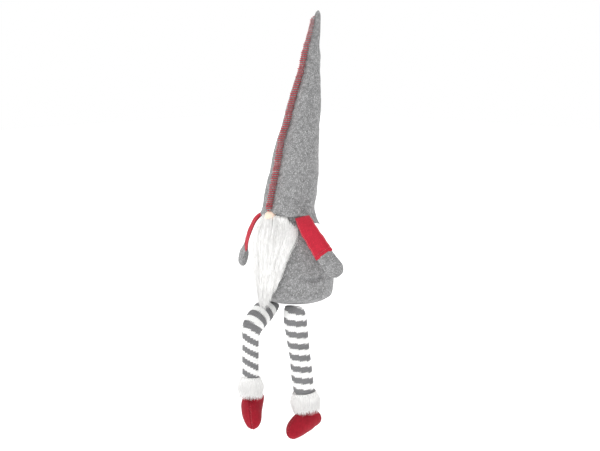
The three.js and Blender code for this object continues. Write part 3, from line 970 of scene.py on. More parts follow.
@dataclass
class Body:
    """The bell-shaped felt body, closed by a round seat and seamed at both sides."""

    outline: tuple[tuple[float, float], ...] = (
        (26.2, 0), (37, 4), (43.5, 13), (45.6, 30), (44.8, 47), (41.6, 64), (36.8, 81),
        (31, 94), (27.2, 101), (26.4, 108), (25.3, 118), (19, 129), (9, 134),
    )
    around: int = 144
    dart_height: float = 33 * MM
    dart_reach: float = math.radians(44)
    pucker: float = 4.6 * MM

    def radius_at(self, height: Array) -> Array:
        """The body's outer radius at a height."""
        edge = outline_through(self.outline, 120)
        return np.interp(height, edge[:, 1], edge[:, 0])

    def relief(self, turn: Array, height: Array, radius: Array) -> Array:
        """How far seams, puckers and the stuffing's lumps move the surface out.

        Args:
            turn: the angle around, zero at the front.
            height: the height above the bottom.
            radius: the radius there.

        Returns:
            How far the surface stands out.
        """
        side = np.abs(gap_to(turn, 0.0)) - np.pi / 2
        from_side = side * radius
        seam = -1.1 * MM * np.exp(-((from_side / (1.1 * MM)) ** 2))
        swell = 0.5 * MM * np.exp(-(((np.abs(from_side) - 4 * MM) / (2.6 * MM)) ** 2))
        drawn = np.sin(height / (3.4 * MM)) * 0.35 * MM * np.exp(-np.abs(from_side) / (5 * MM))
        reach = 1 - smoothstep(-side, self.dart_reach * 0.8, self.dart_reach)
        reach = reach * (1 - smoothstep(side, 0.02, 0.1))
        dip = height - self.dart_height - 1.2 * MM * np.sin(turn * 9)
        dart = -1.9 * MM * np.exp(-((dip / (1.3 * MM)) ** 2)) * reach
        puff = 0.9 * MM * np.exp(-(((np.abs(dip) - 5 * MM) / (3.4 * MM)) ** 2)) * reach
        gathers = np.sin(turn * radius / self.pucker * 2 * np.pi) * 0.75 * MM
        gathers = gathers * np.exp(-np.abs(dip) / (4.5 * MM)) * reach
        middle = smoothstep(height, 4 * MM, 16 * MM) * (1 - smoothstep(height, 88 * MM, 100 * MM))
        return (seam + swell + drawn + dart + puff + gathers) * middle

    def build(self) -> list[bpy.types.Object]:
        """Makes the skin, the seat and the side stitches, dressed and bound.

        Returns:
            The pieces made.
        """
        edge = outline_through(self.outline, 110)
        turn = np.linspace(0, 2 * np.pi, self.around, endpoint=False)
        turns, heights = np.meshgrid(turn, edge[:, 1])
        radius = np.repeat(edge[:, :1], self.around, axis=1)
        wall = SPINE.at(radius, turns, heights)
        push = self.relief(turns, heights, radius)
        push = push + lumps(wall, 30 * MM, 1) * 1.1 * MM + lumps(wall, 9 * MM, 2) * 0.35 * MM
        push = push * smoothstep(heights, 1 * MM, 9 * MM)
        skirt = 1 - smoothstep(heights, 97 * MM, 101 * MM)
        bare = SPINE.at(radius * 0.985, turns, heights)
        loose = smoothstep(heights, 2 * MM, 12 * MM) * skirt
        moved = Stuffing(most=2.4 * MM).settle(bare, (0.08, 0.3)) * loose[..., None]
        drawn = 1.6 * MM * smoothstep(heights, 6 * MM, 20 * MM) * (1 - smoothstep(heights, 50 * MM, 75 * MM))
        wall = SPINE.at(radius + push * skirt - drawn, turns, heights) + moved
        every = np.ones_like(turn) * MM
        floor_edge = ((8, 2.6), (20, 2.5), (24.6, 2.3), (24.9, 0.4))
        floor = [SPINE.at(r * every, turn, z * every) for r, z in floor_edge]
        skin = tube("body_skin", np.vstack([np.array(floor), wall]))
        WARDROBE.dress(skin, GREY_FELT)
        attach(skin, "torso")
        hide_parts("body_front_panel", "body_back_panel", "body_stuffing")
        seat = self.seat()
        return [skin, seat, self.stitches(skin)]

    def seat(self) -> bpy.types.Object:
        """The round felt seat, held in the body's opening.

        Returns:
            The seat.
        """
        low, high = low_high("seat_disc")
        radius = (high[0] - low[0]) / 2
        thick = high[2] - low[2]
        turn = np.linspace(0, 2 * np.pi, 96, endpoint=False)
        steps = [
            (0.3, 0.04), (0.7, 0.03), (0.93, 0.02), (0.995, 0.14), (1.0, 0.5),
            (0.995, 0.86), (0.93, 1.0), (0.7, 1.0), (0.3, 1.0),
        ]
        every = np.ones_like(turn)
        rings = np.array([SPINE.at(radius * r * every, turn, thick * z * every) for r, z in steps])
        rings += (np.stack([np.zeros_like(rings[..., 0])] * 2 + [lumps(rings, 8 * MM, 5)], -1)) * 0.12 * MM
        rings[..., 2] = np.maximum(rings[..., 2], 0)
        seat = tube("seat_felt", rings)
        WARDROBE.dress(seat, GREY_FELT)
        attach(seat, "torso")
        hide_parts("seat_disc")
        return seat

    def stitches(self, skin: bpy.types.Object) -> bpy.types.Object:
        """Hand stitches across the darts.

        Args:
            skin: the skin that is sewn.

        Returns:
            The stitches as one piece.
        """
        ends, middle = (1.7 * MM, -0.3 * MM), (0.8 * MM, 0.35 * MM)
        unit_line = [(0, -ends[0], ends[1]), (0, -middle[0], middle[1]), (0, *middle), (0, *ends)]
        unit_piece = thread_unit("dart_stitch", unit_line, 0.24 * MM, 5, 5)
        spots, outs, alongs = [], [], []
        for side in Side:
            turns = side.value * (np.pi / 2 - np.linspace(0.03, self.dart_reach * 0.92, 16))
            height = self.dart_height + 1.2 * MM * np.sin(turns * 9)
            line, out = nearest_on(skin, SPINE.at(self.radius_at(height), turns, height))
            spots.append(line)
            outs.append(out)
            alongs.append(unit(np.gradient(line, axis=0)))
        piece = REPEATER.spread(
            "dart_stitches", unit_piece, np.vstack(spots), np.vstack(outs), np.vstack(alongs),
            GREY_THREAD, jitter=0.15, seed=4,
        )
        drop(unit_piece)
        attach(piece, "torso")
        return piece


# ---------------------------------------------------------------- hat


@dataclass
class Hat:
    """The tall pointed hat: a stuffed felt cone with an overlocked seam standing up along its front."""

    outline: tuple[tuple[float, float], ...] = (
        (32, 0), (31.6, 12), (30.8, 30), (29.6, 50), (26.6, 80), (23, 110), (18.5, 148),
        (13.6, 180), (8.6, 212), (5.4, 238), (3.4, 251), (0.8, 255.6),
    )
    lining: tuple[tuple[float, float], ...] = (
        (8, 138), (19, 133.4), (26.6, 122), (28.0, 112), (29.4, 106), (30.3, 103.9),
    )
    around: int = 120
    bend_reach: float = 26 * MM
    fin_depth: float = 7.3 * MM
    fin_half: float = 1.35 * MM
    fin_from: float = 1.5 * MM
    fin_to: float = 247 * MM
    stitch_pitch: float = 2.55 * MM

    def edge(self, steps: int) -> Array:
        """The hat's radius and height above the brim."""
        return outline_through(self.outline, steps)

    def relief(self, turn: Array, above: Array, radius: Array) -> Array:
        """How the felt is drawn in along its seams and dented near the brim.

        Args:
            turn: the angle around, zero at the front.
            above: the height above the brim.
            radius: the radius there.

        Returns:
            How far the surface stands out.
        """
        front = gap_to(turn, 0.0) * radius
        back = gap_to(turn, np.pi) * radius
        fall = np.exp(-((front / (5.5 * MM)) ** 2))
        gathers = np.sin(above / (11 * MM) * 2 * np.pi + 1.7 * np.sin(above / (31 * MM)))
        seam = fall * (0.55 * MM * gathers - 0.7 * MM)
        behind = 0.3 * MM * np.exp(-((back / (5 * MM)) ** 2)) - 0.9 * MM * np.exp(-((back / (1.2 * MM)) ** 2))
        around = np.abs(gap_to(turn, 0))
        flare = 8 * MM * np.exp(-(((around - 2.25) / 0.55) ** 2)) * np.exp(-above / (9 * MM))
        flare = flare + 3.4 * MM * np.exp(-(((around - 1.33) / 0.4) ** 2)) * np.exp(-above / (7 * MM))
        waist = np.exp(-(((above - 18 * MM) / (9 * MM)) ** 2))
        flare = flare - 2.4 * MM * np.exp(-(((around - 2.3) / 0.6) ** 2)) * waist
        fold = ((np.abs(gap_to(turn, 0)) - 1.42) * radius - (above - 14 * MM) * 0.25) / (3.4 * MM)
        low = smoothstep(above, 1 * MM, 6 * MM) * (1 - smoothstep(above, 16 * MM, 30 * MM))
        crease = -4.2 * MM * np.exp(-fold**2) * low
        ledge = 0.8 * MM * np.exp(-(((np.abs(fold) - 2.2) / 1.2) ** 2)) * low
        return seam + behind + flare + crease + ledge

    def brim_lift(self, turn: Array, above: Array) -> Array:
        """The brim rides up over the nose and dips at the sides.

        Args:
            turn: the angle around, zero at the front.
            above: the height above the brim.

        Returns:
            How far the brim is lifted.
        """
        nose = 2.6 * MM * np.exp(-((gap_to(turn, 0) / 0.42) ** 2))
        around = np.abs(gap_to(turn, 0))
        sides = 5 * MM * np.exp(-(((around - 1.33) / 0.34) ** 2))
        sides = sides - 1.2 * MM * np.exp(-(((around - 2.2) / 0.5) ** 2))
        wave = 0.5 * MM * np.sin(3 * turn + 0.6)
        return (nose + sides + wave) * (1 - smoothstep(above, 0, 16 * MM))

    def surface(self, turn: Array, above: Array, radius: Array, out: Array | float = 0.0) -> Array:
        """Points on the hat's outside, or a little way out from it.

        Args:
            turn: the angle around, zero at the front.
            above: the height above the brim.
            radius: the radius there.
            out: how far out from the surface.

        Returns:
            The points there.
        """
        height = SPINE.brim_height + above + self.brim_lift(turn, above)
        plain = SPINE.at(radius, turn, height)
        soft = lumps(plain, 46 * MM, 11) * 1.5 * MM + lumps(plain, 17 * MM, 12) * 0.75 * MM
        soft = soft + lumps(plain, 7 * MM, 13) * 0.22 * MM
        soft = soft * np.clip(radius / (16 * MM), 0.15, 1)
        relief = self.relief(turn, above, radius) * np.clip(radius / (12 * MM), 0, 1)
        return SPINE.at(radius + soft + relief + out, turn, height)

    def bind(self, piece: bpy.types.Object) -> bpy.types.Object:
        """Bakes a piece's transform into its mesh.

        Args:
            piece: the piece to work on.

        Returns:
            The same piece.
        """
        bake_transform(piece)
        return piece

    def build(self) -> list[bpy.types.Object]:
        """Makes the cone, its standing seam and the seam's thread.

        Returns:
            The pieces made.
        """
        edge = self.edge(130)
        turn = np.linspace(0, 2 * np.pi, self.around, endpoint=False)
        turns, above = np.meshgrid(turn, edge[:, 1])
        radius = np.repeat(edge[:, :1], self.around, axis=1)
        wall = self.surface(turns, above, radius)
        bare = SPINE.at(radius * 0.98, turns, SPINE.brim_height + above)
        from_seam = np.abs(gap_to(turns, 0)) * radius
        away = smoothstep(from_seam, 4 * MM, 15 * MM) * smoothstep(above, 4 * MM, 24 * MM)
        moved = Stuffing(slack=0.015, rows=60, columns=40, most=1.8 * MM).settle(bare, (0.04, 0.05))
        wall = wall + moved * (away * np.clip(radius / (14 * MM), 0, 1))[..., None]
        lip_height = SPINE.brim_height + self.brim_lift(turn, np.zeros_like(turn))
        lip = []
        for r, h in self.lining:
            share = smoothstep(np.array(h), 116, 103)
            lip.append(SPINE.at(r * MM + 0 * turn, turn, h * MM + (lip_height - SPINE.brim_height) * share))
        for inward, drop_by in ((1.5, 0.35), (0.75, 0.75), (0.15, 0.4)):
            hem = edge[0, 0] - inward * MM + self.relief(turn, 0 * turn, edge[0, 0])
            lip.append(SPINE.at(hem, turn, lip_height - drop_by * MM))
        cone = tube("hat_cone", np.vstack([np.array(lip), wall]))
        WARDROBE.dress(cone, GREY_FELT)
        self.bind(cone)
        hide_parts("hat_felt_lower", "hat_felt_tip", "hat_stuffing_lower", "hat_stuffing_tip")
        return [cone, self.fin(), self.thread()]

    def fin_line(self, count: int) -> tuple[Array, Array, Array]:
        """The seam's foot line along the front, its way out and its sideways wander.

        Args:
            count: how many places along it.

        Returns:
            The foot points, the unit ways out and the sideways wander.
        """
        edge = self.edge(400)
        above = np.linspace(self.fin_from, self.fin_to, count)
        radius = np.interp(above, edge[:, 1], edge[:, 0])
        wander = (0.9 * np.sin(above / (23 * MM)) + 0.45 * np.sin(above / (9 * MM) + 1)) * MM
        turn = wander / np.maximum(radius, 6 * MM)
        foot = self.surface(turn, above, radius)
        further = self.surface(turn, above, radius, 1 * MM)
        return foot, unit(further - foot), wander

    def narrowing(self, count: int) -> Array:
        """How the standing seam gets narrower towards the hat's tip."""
        return 1 - 0.36 * smoothstep(np.linspace(self.fin_from, self.fin_to, count), 190 * MM, self.fin_to)

    def fin(self) -> bpy.types.Object:
        """The felt edge that stands up along the front.

        Returns:
            The standing seam.
        """
        foot, out, _ = self.fin_line(180)
        ahead = unit(np.gradient(foot, axis=0))
        sideways = unit(np.cross(out, ahead))
        depth, half = self.fin_depth, self.fin_half
        shape = [
            (-1.0, -0.25), (-1.05, 0.3), (-0.95, 0.72), (-0.6, 0.95), (0.0, 1.0),
            (0.6, 0.95), (0.95, 0.72), (1.05, 0.3), (1.0, -0.25), (0.0, -0.3),
        ]
        ripple = 1 + 0.06 * np.sin(np.arange(len(foot)) * 0.9)[:, None]
        ends = np.minimum(np.minimum(np.arange(len(foot)), np.arange(len(foot))[::-1]) / 5, 1.0)[:, None]
        ends = (0.35 + 0.65 * np.sqrt(ends)) * self.narrowing(len(foot))[:, None]
        wide, tall = sideways * half * ripple, out * depth * ends * ripple
        rings = np.stack([foot + wide * x + tall * y for x, y in shape], axis=1)
        fin = tube("hat_seam_felt", rings)
        WARDROBE.dress(fin, GREY_FELT)
        return self.bind(fin)

    def thread(self) -> bpy.types.Object:
        """Overlock stitches that wrap the standing edge.

        Returns:
            The thread over it.
        """
        count = int((self.fin_to - self.fin_from) / self.stitch_pitch)
        foot, out, _ = self.fin_line(count)
        ahead = unit(np.gradient(foot, axis=0))
        half, depth = self.fin_half, self.fin_depth
        loop = [
            (-0.9, 1.5, 0.02), (-0.6, 1.32, 0.3), (-0.15, 1.25, 0.7), (0.1, 0.75, 1.03), (0.3, 0.0, 1.1),
            (0.5, -0.75, 1.03), (0.75, -1.25, 0.7), (1.1, -1.32, 0.3), (1.3, -1.5, 0.02),
        ]
        line = [(x * 0.9 * MM, y * half, z * depth) for x, y, z in loop]
        wrap = thread_unit("overlock_loop", line, 0.6 * MM, 6, 14)
        from_end = np.minimum(np.arange(count), np.arange(count)[::-1])
        ends = np.minimum(from_end / 3 + 0.6, 1.0) * self.narrowing(count)
        thread = REPEATER.spread(
            "hat_seam_thread", wrap, foot, out, ahead, RED_THREAD, sizes=ends, jitter=0.06, seed=9
        )
        drop(wrap)
        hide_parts("hat_seam_lower", "hat_seam_tip")
        return self.bind(thread)


# ---------------------------------------------------------------- nose and beard


@dataclass
class Nose:
    """A small round stuffed nose tucked under the brim."""

    squash: tuple[float, float, float] = (1.02, 0.94, 0.97)
    lift: float = 1.2 * MM

    def build(self) -> list[bpy.types.Object]:
        """Makes the nose where the CAD has it.

        Returns:
            The pieces made.
        """
        low, high = low_high("nose")
        radius = (high[0] - low[0]) / 2 + 0.4 * MM
        centre = np.array([(low[0] + high[0]) / 2, low[1] + radius, low[2] + radius + self.lift])
        tilt = np.linspace(-np.pi / 2, np.pi / 2, 34)[1:-1]
        turn = np.linspace(0, 2 * np.pi, 56, endpoint=False)
        level = np.stack([np.cos(turn), np.sin(turn), 0 * turn], -1)
        rings = np.stack([np.cos(a) * level + np.sin(a) * UP for a in tilt])
        rings = rings * np.array(self.squash) * radius
        rings = rings * (1 + 0.02 * lumps(rings, 6 * MM, 3)[..., None])
        nose = tube("nose_ball", rings + centre)
        WARDROBE.dress(nose, NOSE_CLOTH)
        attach(nose, "torso")
        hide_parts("nose")
        return [nose]


@dataclass
class Beard:
    """A long straight beard of white pile that hangs over the front of the body."""

    under: tuple[tuple[float, float], ...] = (
        (-8, 48.2), (11, 48.0), (30, 47.4), (47, 46.6), (64, 43.4),
        (81, 38.6), (88, 35.4), (94, 32.6), (99, 30.6), (104, 29.6),
    )
    widths: tuple[tuple[float, float], ...] = (
        (-8, 15), (6, 18.5), (20, 20.5), (38, 24.5), (50, 26.5), (60, 29),
        (70, 30), (80, 30), (88, 28.5), (95, 26.5), (103, 24),
    )
    # How much of that width the gnome's left half has: the tips sweep to its right.
    left_share: tuple[tuple[float, float], ...] = (
        (-8, 0.85), (12, 0.78), (28, 0.76), (42, 0.78), (56, 0.84), (70, 0.94), (82, 1),
    )
    top: float = 101.5 * MM
    drift: float = -3.5 * MM  # how far the tips hang to the gnome's right
    nose_rise: float = 5.5 * MM
    locks: int = 32
    layers: int = 5
    hairs: int = 34
    points: int = 13

    def radius_at(self, height: Array) -> Array:
        """The radius that the pile's underside hangs at."""
        line = np.array(self.under) * MM
        return np.interp(height, line[:, 0], line[:, 1])

    def width_at(self, height: Array, u: Array) -> Array:
        """Half the beard's width at a height, on the side that u is on.

        Args:
            height: the height above the bottom.
            u: the place across, from -1 to 1.

        Returns:
            The half width there.
        """
        line = np.array(self.widths) * MM
        left = np.array(self.left_share)
        share = np.interp(height, left[:, 0] * MM, left[:, 1])
        return np.interp(height, line[:, 0], line[:, 1]) * np.where(u > 0, share, 1.0)

    def place(self, across: Array, height: Array, off: Array) -> Array:
        """A point of the pile from its distance across, its height and how far it stands off.

        Args:
            across: the distance across.
            height: the height above the bottom.
            off: how far out from the surface.

        Returns:
            The points there.
        """
        radius = self.radius_at(height)
        across = across + self.drift * (1 - smoothstep(height, 0, 55 * MM))
        turn = np.arcsin(np.clip(across / radius, -0.95, 0.95))
        return SPINE.at(radius + off, turn, height)

    def lines(self, seed: int) -> Array:
        """The hairs' paths: locks that start in layers and draw together towards their tips.

        Args:
            seed: the seed of the random draws.

        Returns:
            The points of every hair's path.
        """
        random = np.random.default_rng(seed)
        found = []
        t = np.linspace(0, 1, self.points)
        for layer in range(self.layers):
            for lock in range(self.locks):
                u = (lock + random.uniform(0.1, 0.9)) / self.locks * 2 - 1
                start = self.top - layer * 11 * MM - random.uniform(0, 7) * MM
                start = start - 6 * MM * abs(u) ** 3 - 2.5 * MM * math.exp(-((u / 0.17) ** 2))
                if layer > 1 and u > 0.3 and random.uniform() < 0.5:
                    continue
                finish = random.uniform(-6, 7) * MM + abs(u) ** 3 * 24 * MM
                length = random.uniform(58, 80) * MM
                finish = max(finish, start - length)
                if start - finish < 12 * MM:
                    continue
                own = u + random.normal(0, 0.055, self.hairs)
                begin = start + random.normal(0, 1.6, self.hairs) * MM
                end = finish + random.uniform(-2, 5, self.hairs) * MM
                height = begin[:, None] + (end - begin)[:, None] * t
                gather = 0.72 * smoothstep(t, 0.25, 1.0)[None]
                spread = own[:, None] + (u - own[:, None]) * gather
                across = spread * self.width_at(height, spread) * (1 - 0.06 * t)
                phase = random.uniform(0, 6.3) + random.normal(0, 0.35, self.hairs)[:, None]
                swing = random.uniform(0.5, 1.3) * MM
                across = across + swing * np.sin(height / (9 * MM) + phase) * smoothstep(t, 0.05, 0.7)
                across = across + random.normal(0, 0.35, (self.hairs, 1)) * MM * t * 2
                lift = 1.2 + 5.2 * np.sin(np.pi * np.clip(t * 0.92 + 0.04, 0, 1)) ** 0.8
                stand = random.uniform(0.45, 1.05) * (0.75 + 0.25 * (self.layers - layer) / self.layers)
                off = (lift[None] * stand + random.normal(0, 0.45, (self.hairs, 1))) * MM
                over_nose = np.exp(-((across / (6 * MM)) ** 2))
                over_nose = over_nose * np.exp(-(((height - 96 * MM) / (6 * MM)) ** 2))
                puff = smoothstep(-across, 4 * MM, 20 * MM) * np.exp(-(((height - 64 * MM) / (20 * MM)) ** 2))
                off = np.maximum(off, 0.3 * MM) + self.nose_rise * over_nose + 3 * MM * puff
                found.append(self.place(across, height, off))
        return np.concatenate(found)

    def core(self) -> bpy.types.Object:
        """The dense pile under the long hairs, greyed with painted shade.

        Returns:
            The piece under the hairs.
        """
        rows, columns = 60, 72
        height = np.linspace(12 * MM, 101 * MM, rows)[:, None] * np.ones((1, columns))
        u = np.linspace(-1, 1, columns)[None] * np.ones((rows, 1))
        across = u * self.width_at(height, u) * (0.56 + 0.3 * smoothstep(height, 15 * MM, 55 * MM))
        rise = np.sqrt(np.clip(1 - np.abs(u) ** 6, 0, 1)) * smoothstep(height, 12 * MM, 24 * MM) ** 0.5
        ridge = np.sin(u * 31 + np.sin(height / (14 * MM)) * 1.4) * 0.45
        off = (0.3 + rise * (2.1 + ridge)) * MM
        outer = self.place(across, height, off)
        inner = self.place(across, height, np.full_like(off, -0.1 * MM))
        vertices = np.vstack([outer.reshape(-1, 3), inner.reshape(-1, 3)])
        back = rows * columns
        faces = []
        for r in range(rows - 1):
            for c in range(columns - 1):
                a = r * columns + c
                faces.append((a, a + 1, a + columns + 1, a + columns))
                faces.append((back + a, back + a + columns, back + a + columns + 1, back + a + 1))
        border = [c for c in range(columns)]
        border += [r * columns + columns - 1 for r in range(1, rows)]
        border += [(rows - 1) * columns + c for c in range(columns - 2, -1, -1)]
        border += [r * columns for r in range(rows - 2, 0, -1)]
        for i, a in enumerate(border):
            b = border[(i + 1) % len(border)]
            faces.append((a, back + a, back + b, b))
        core = mesh_object("beard_pile_ground", vertices, faces)
        face_out(core)
        # painted shade: the ground under the hairs gets the greyer pile colour
        WARDROBE.dress(core, BEARD_SHADOW)
        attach(core, "beard")
        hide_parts("beard_pile")
        return core

    def build(self) -> list[bpy.types.Object]:
        """Makes the pile ground, the long hairs and the short pile on the beard's backing.

        Returns:
            The pieces made.
        """
        made = [self.core()]
        lines = self.lines(21)
        for i, part in enumerate(np.array_split(lines, 2)):
            hairs = STRANDS.grow(f"beard_hairs_{i + 1}", part, 0.3 * MM, WHITE_PILE)
            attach(hairs, "beard")
            made.append(hairs)
        for side in Side:
            made.append(self.backing(side))
        return made

    def backing(self, side: Side) -> bpy.types.Object:
        """Short pile on one half of the beard's backing, under the brim.

        Args:
            side: the side of the nose.

        Returns:
            The strip.
        """
        random = np.random.default_rng(40 + side.value)
        count = 420
        turn = side.value * random.uniform(0.27, 0.78, count)
        height = random.uniform(99.5, 104, count) * MM
        root = SPINE.at(np.full(count, 28.8 * MM), turn, height)
        t = np.linspace(0, 1, 6)
        fall = random.uniform(5, 9, count)[:, None] * MM
        stand = random.uniform(0.6, 2.6, count)[:, None] * MM
        out = np.stack([np.sin(turn), -np.cos(turn), 0 * turn], -1)
        lines = root[:, None] + out[:, None] * (stand * np.sin(t * 2.2))[..., None]
        lines = lines - UP * (fall * t**1.3)[..., None]
        pile = STRANDS.grow(f"beard_backing_pile_{side.word}", lines, 0.3 * MM, WHITE_PILE)
        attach(pile, "torso")
        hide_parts(f"beard_backing_{side.word}")
        return pile


# ---------------------------------------------------------------- arms


@dataclass
class Arm:
    """A flat felt sleeve, sewn along both edges, with a stuffed mitten in its open end."""

    side: Side
    turn: float = math.radians(45)
    sleeve_line: tuple[Point, ...] = (
        (17.8, 29.6, 108), (20.3, 35.3, 103.7), (23.2, 40, 98),
        (28.4, 44.2, 89), (35, 48, 79), (44.5, 51.2, 64.5),
    )
    sleeve_widths: tuple[float, float] = (19, 23.4)
    sleeve_thick: float = 4.6
    mitten_line: tuple[Point, ...] = ((44.0, 51.1, 65.2), (53, 54, 52.6), (62.6, 56.8, 40.4))
    mitten_widths: tuple[float, float] = (20.4, 24.4)
    mitten_thick: float = 11.0
    wrist_roll: float = math.radians(38)
    around: int = 72

    def point(self, line: Sequence[Point]) -> Array:
        """Points given across, out and up from the brim's centre, in the frame.

        Args:
            line: the places to put in the frame.

        Returns:
            The places in the frame.
        """
        across, out, up = (np.array(line, float) * MM).T
        c, s = math.cos(self.turn), math.sin(self.turn)
        x = self.side.value * (across * c + out * s)
        return np.stack([x, -SPINE.brim_forward + across * s - out * c, up], -1)

    def frames(self, line: Sequence[Point], count: int, rolls: bool) -> tuple[Array, Array, Array]:
        """The middle line of a part of the arm, with its ways across and through.

        Args:
            line: the points it passes.
            count: how many places along it.
            rolls: whether the roll grows from the shoulder; it is full all along if not.

        Returns:
            Places, ways across and ways through.
        """
        path = evenly(through(self.point(line), 60), count)
        q = np.linspace(0, 1, count)
        roll = self.wrist_roll * (smoothstep(q, 0, 0.9) if rolls else np.ones(count))
        level = np.array([self.side.value * math.cos(self.turn), math.sin(self.turn), 0.0])
        ahead = unit(np.gradient(path, axis=0))
        across = level * np.cos(roll)[:, None] + UP * np.sin(roll)[:, None]
        across = unit(across - ahead * np.sum(across * ahead, axis=1, keepdims=True))
        return path, across, np.cross(ahead, across)

    def section(
        self, path: Array, across: Array, thick: Array, width: Array, depth: Array, flat: float
    ) -> Array:
        """Lens-shaped rings about a middle line; flat is how far their edges are pinched.

        Args:
            path: the middle line.
            across: the way of its width.
            thick: the way of its thickness.
            width: the half widths.
            depth: the half thicknesses.
            flat: how flat its edges are.

        Returns:
            Rings around the middle line.
        """
        t = np.linspace(0, 2 * np.pi, self.around, endpoint=False)
        wide = np.cos(t)[None, :, None] * width[:, None, None] * across[:, None]
        body = np.sin(t) * (1 - flat + flat * np.abs(np.sin(t)))
        return path[:, None] + wide + body[None, :, None] * depth[:, None, None] * thick[:, None]

    def build(self) -> list[bpy.types.Object]:
        """Makes sleeve, its stitches and the mitten."""
        return [*self.sleeve(), *self.mitten()]

    def sleeve(self) -> list[bpy.types.Object]:
        """The red sleeve with its edge and wrist seams.

        Returns:
            The sleeve and its stitches.
        """
        count = 60
        path, across, thick = self.frames(self.sleeve_line, count, True)
        q = np.linspace(0, 1, count)
        width = (self.sleeve_widths[0] + (self.sleeve_widths[1] - self.sleeve_widths[0]) * q) / 2 * MM
        depth = self.sleeve_thick / 2 * MM * (0.92 + 0.12 * np.sin(q * 7)) * np.ones(count)
        close = np.sqrt(np.clip(q * 14, 0.15, 1))
        rings = self.section(path, across, thick, width * (0.9 + 0.1 * close), depth * close, 0.42)
        t = np.linspace(0, 2 * np.pi, self.around, endpoint=False)
        out = unit(rings - path[:, None])
        wrist = np.exp(-(((1 - q) * 48 - 4.2) ** 2) / 1.6)[:, None]
        gathers = np.sin(q[:, None] * 26 + 3 * np.cos(t)[None]) * 0.25 * MM * (np.abs(np.cos(t)) ** 3)[None]
        edge_groove = -0.5 * MM * np.exp(-(((np.abs(np.cos(t)) - 0.86) / 0.05) ** 2))[None]
        push = lumps(rings, 15 * MM, 31) * 0.7 * MM + gathers + edge_groove - 0.6 * MM * wrist
        rings = rings + out * (push * smoothstep(q, 0, 0.1)[:, None])[..., None]
        mouth = []
        back = unit(path[-2] - path[-1])
        for shrink, deep in ((0.985, -0.35), (0.94, -0.45), (0.9, 0.1), (0.88, 2.5), (0.86, 5.0)):
            mouth.append(path[-1] + (rings[-1] - path[-1]) * shrink + back * deep * MM)
        sleeve = tube(f"sleeve_felt_{self.side.word}", np.vstack([rings, np.array(mouth)]))
        WARDROBE.dress(sleeve, RED_FELT)
        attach(sleeve, f"arm_{self.side.word}")
        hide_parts(f"sleeve_{self.side.word}", f"sleeve_batting_{self.side.word}")
        return [sleeve, self.sewing(rings, q, out)]

    def sewing(self, rings: Array, q: Array, out: Array) -> bpy.types.Object:
        """Stitches beside both edges and around the wrist.

        Args:
            rings: the sleeve's rings.
            q: the place along.
            out: how far out from the surface.

        Returns:
            The stitches as one piece.
        """
        line = [(x * MM, 0, z * MM) for x, z in ((-1.05, -0.2), (-0.5, 0.22), (0.5, 0.22), (1.05, -0.2))]
        stitch = thread_unit(f"sleeve_stitch_{self.side.word}", line, 0.2 * MM, 5, 5)
        quarter = self.around // 4
        spots, outs, alongs = [], [], []
        for column in (5, 2 * quarter - 5, 2 * quarter + 5, 4 * quarter - 5):
            rows = np.arange(7, len(q) - 3, 2)
            along = unit(np.gradient(rings[:, column], axis=0))
            spots.append(rings[rows, column])
            outs.append(out[rows, column])
            alongs.append(along[rows])
        row = len(q) - 1 - round(4.2 / 48 * (len(q) - 1))
        columns = np.arange(0, self.around, 2)
        along = unit(np.roll(rings[row], -1, 0) - np.roll(rings[row], 1, 0))
        spots.append(rings[row, columns])
        outs.append(out[row, columns])
        alongs.append(along[columns])
        piece = REPEATER.spread(
            f"sleeve_sewing_{self.side.word}", stitch, np.vstack(spots), np.vstack(outs), np.vstack(alongs),
            RED_SEWING, jitter=0.1, seed=6,
        )
        drop(stitch)
        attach(piece, f"arm_{self.side.word}")
        return piece

    def mitten(self) -> list[bpy.types.Object]:
        """The rounded grey mitten with a seam around its edge.

        Returns:
            The mitten's pieces.
        """
        q = 1 - (1 - np.linspace(0, 1, 46)) ** 1.35
        path, across, thick = self.frames(self.mitten_line, 200, False)
        index = np.clip((q * 199).astype(int), 0, 199)
        path, across, thick = path[index], across[index], thick[index]
        width = (self.mitten_widths[0] + (self.mitten_widths[1] - self.mitten_widths[0]) * q) / 2 * MM
        width = width * np.where(q > 0.6, np.sqrt(np.clip(1 - ((q - 0.6) / 0.405) ** 2, 0.002, 1)), 1)
        depth = self.mitten_thick / 2 * MM * (0.42 + 0.58 * smoothstep(q, 0.0, 0.5))
        depth = depth * np.where(q > 0.8, np.sqrt(np.clip(1 - ((q - 0.8) / 0.203) ** 2, 0.004, 1)), 1)
        rings = self.section(path, across, thick, width, depth, 0.3)
        t = np.linspace(0, 2 * np.pi, self.around, endpoint=False)
        out = unit(rings - path[:, None])
        groove = -0.7 * MM * np.exp(-((np.sin(t) / 0.13) ** 2))[None] * smoothstep(1 - q, 0.0, 0.04)[:, None]
        push = groove + lumps(rings, 12 * MM, 33) * 0.5 * MM + lumps(rings, 4 * MM, 34) * 0.15 * MM
        rings = rings + out * (push * smoothstep(q, 0.02, 0.12)[:, None])[..., None]
        smaller = path[:, None] + (rings - path[:, None]) * 0.98
        settled = Stuffing(rows=24, most=2 * MM).settle(smaller, (0.2, 0.0))
        rings = rings + settled * smoothstep(q, 0.15, 0.4)[:, None, None]
        mitten = tube(f"mitten_felt_{self.side.word}", rings)
        WARDROBE.dress(mitten, GREY_FELT)
        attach(mitten, f"arm_{self.side.word}")
        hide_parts(f"mitten_{self.side.word}")
        return [mitten]


# ---------------------------------------------------------------- legs


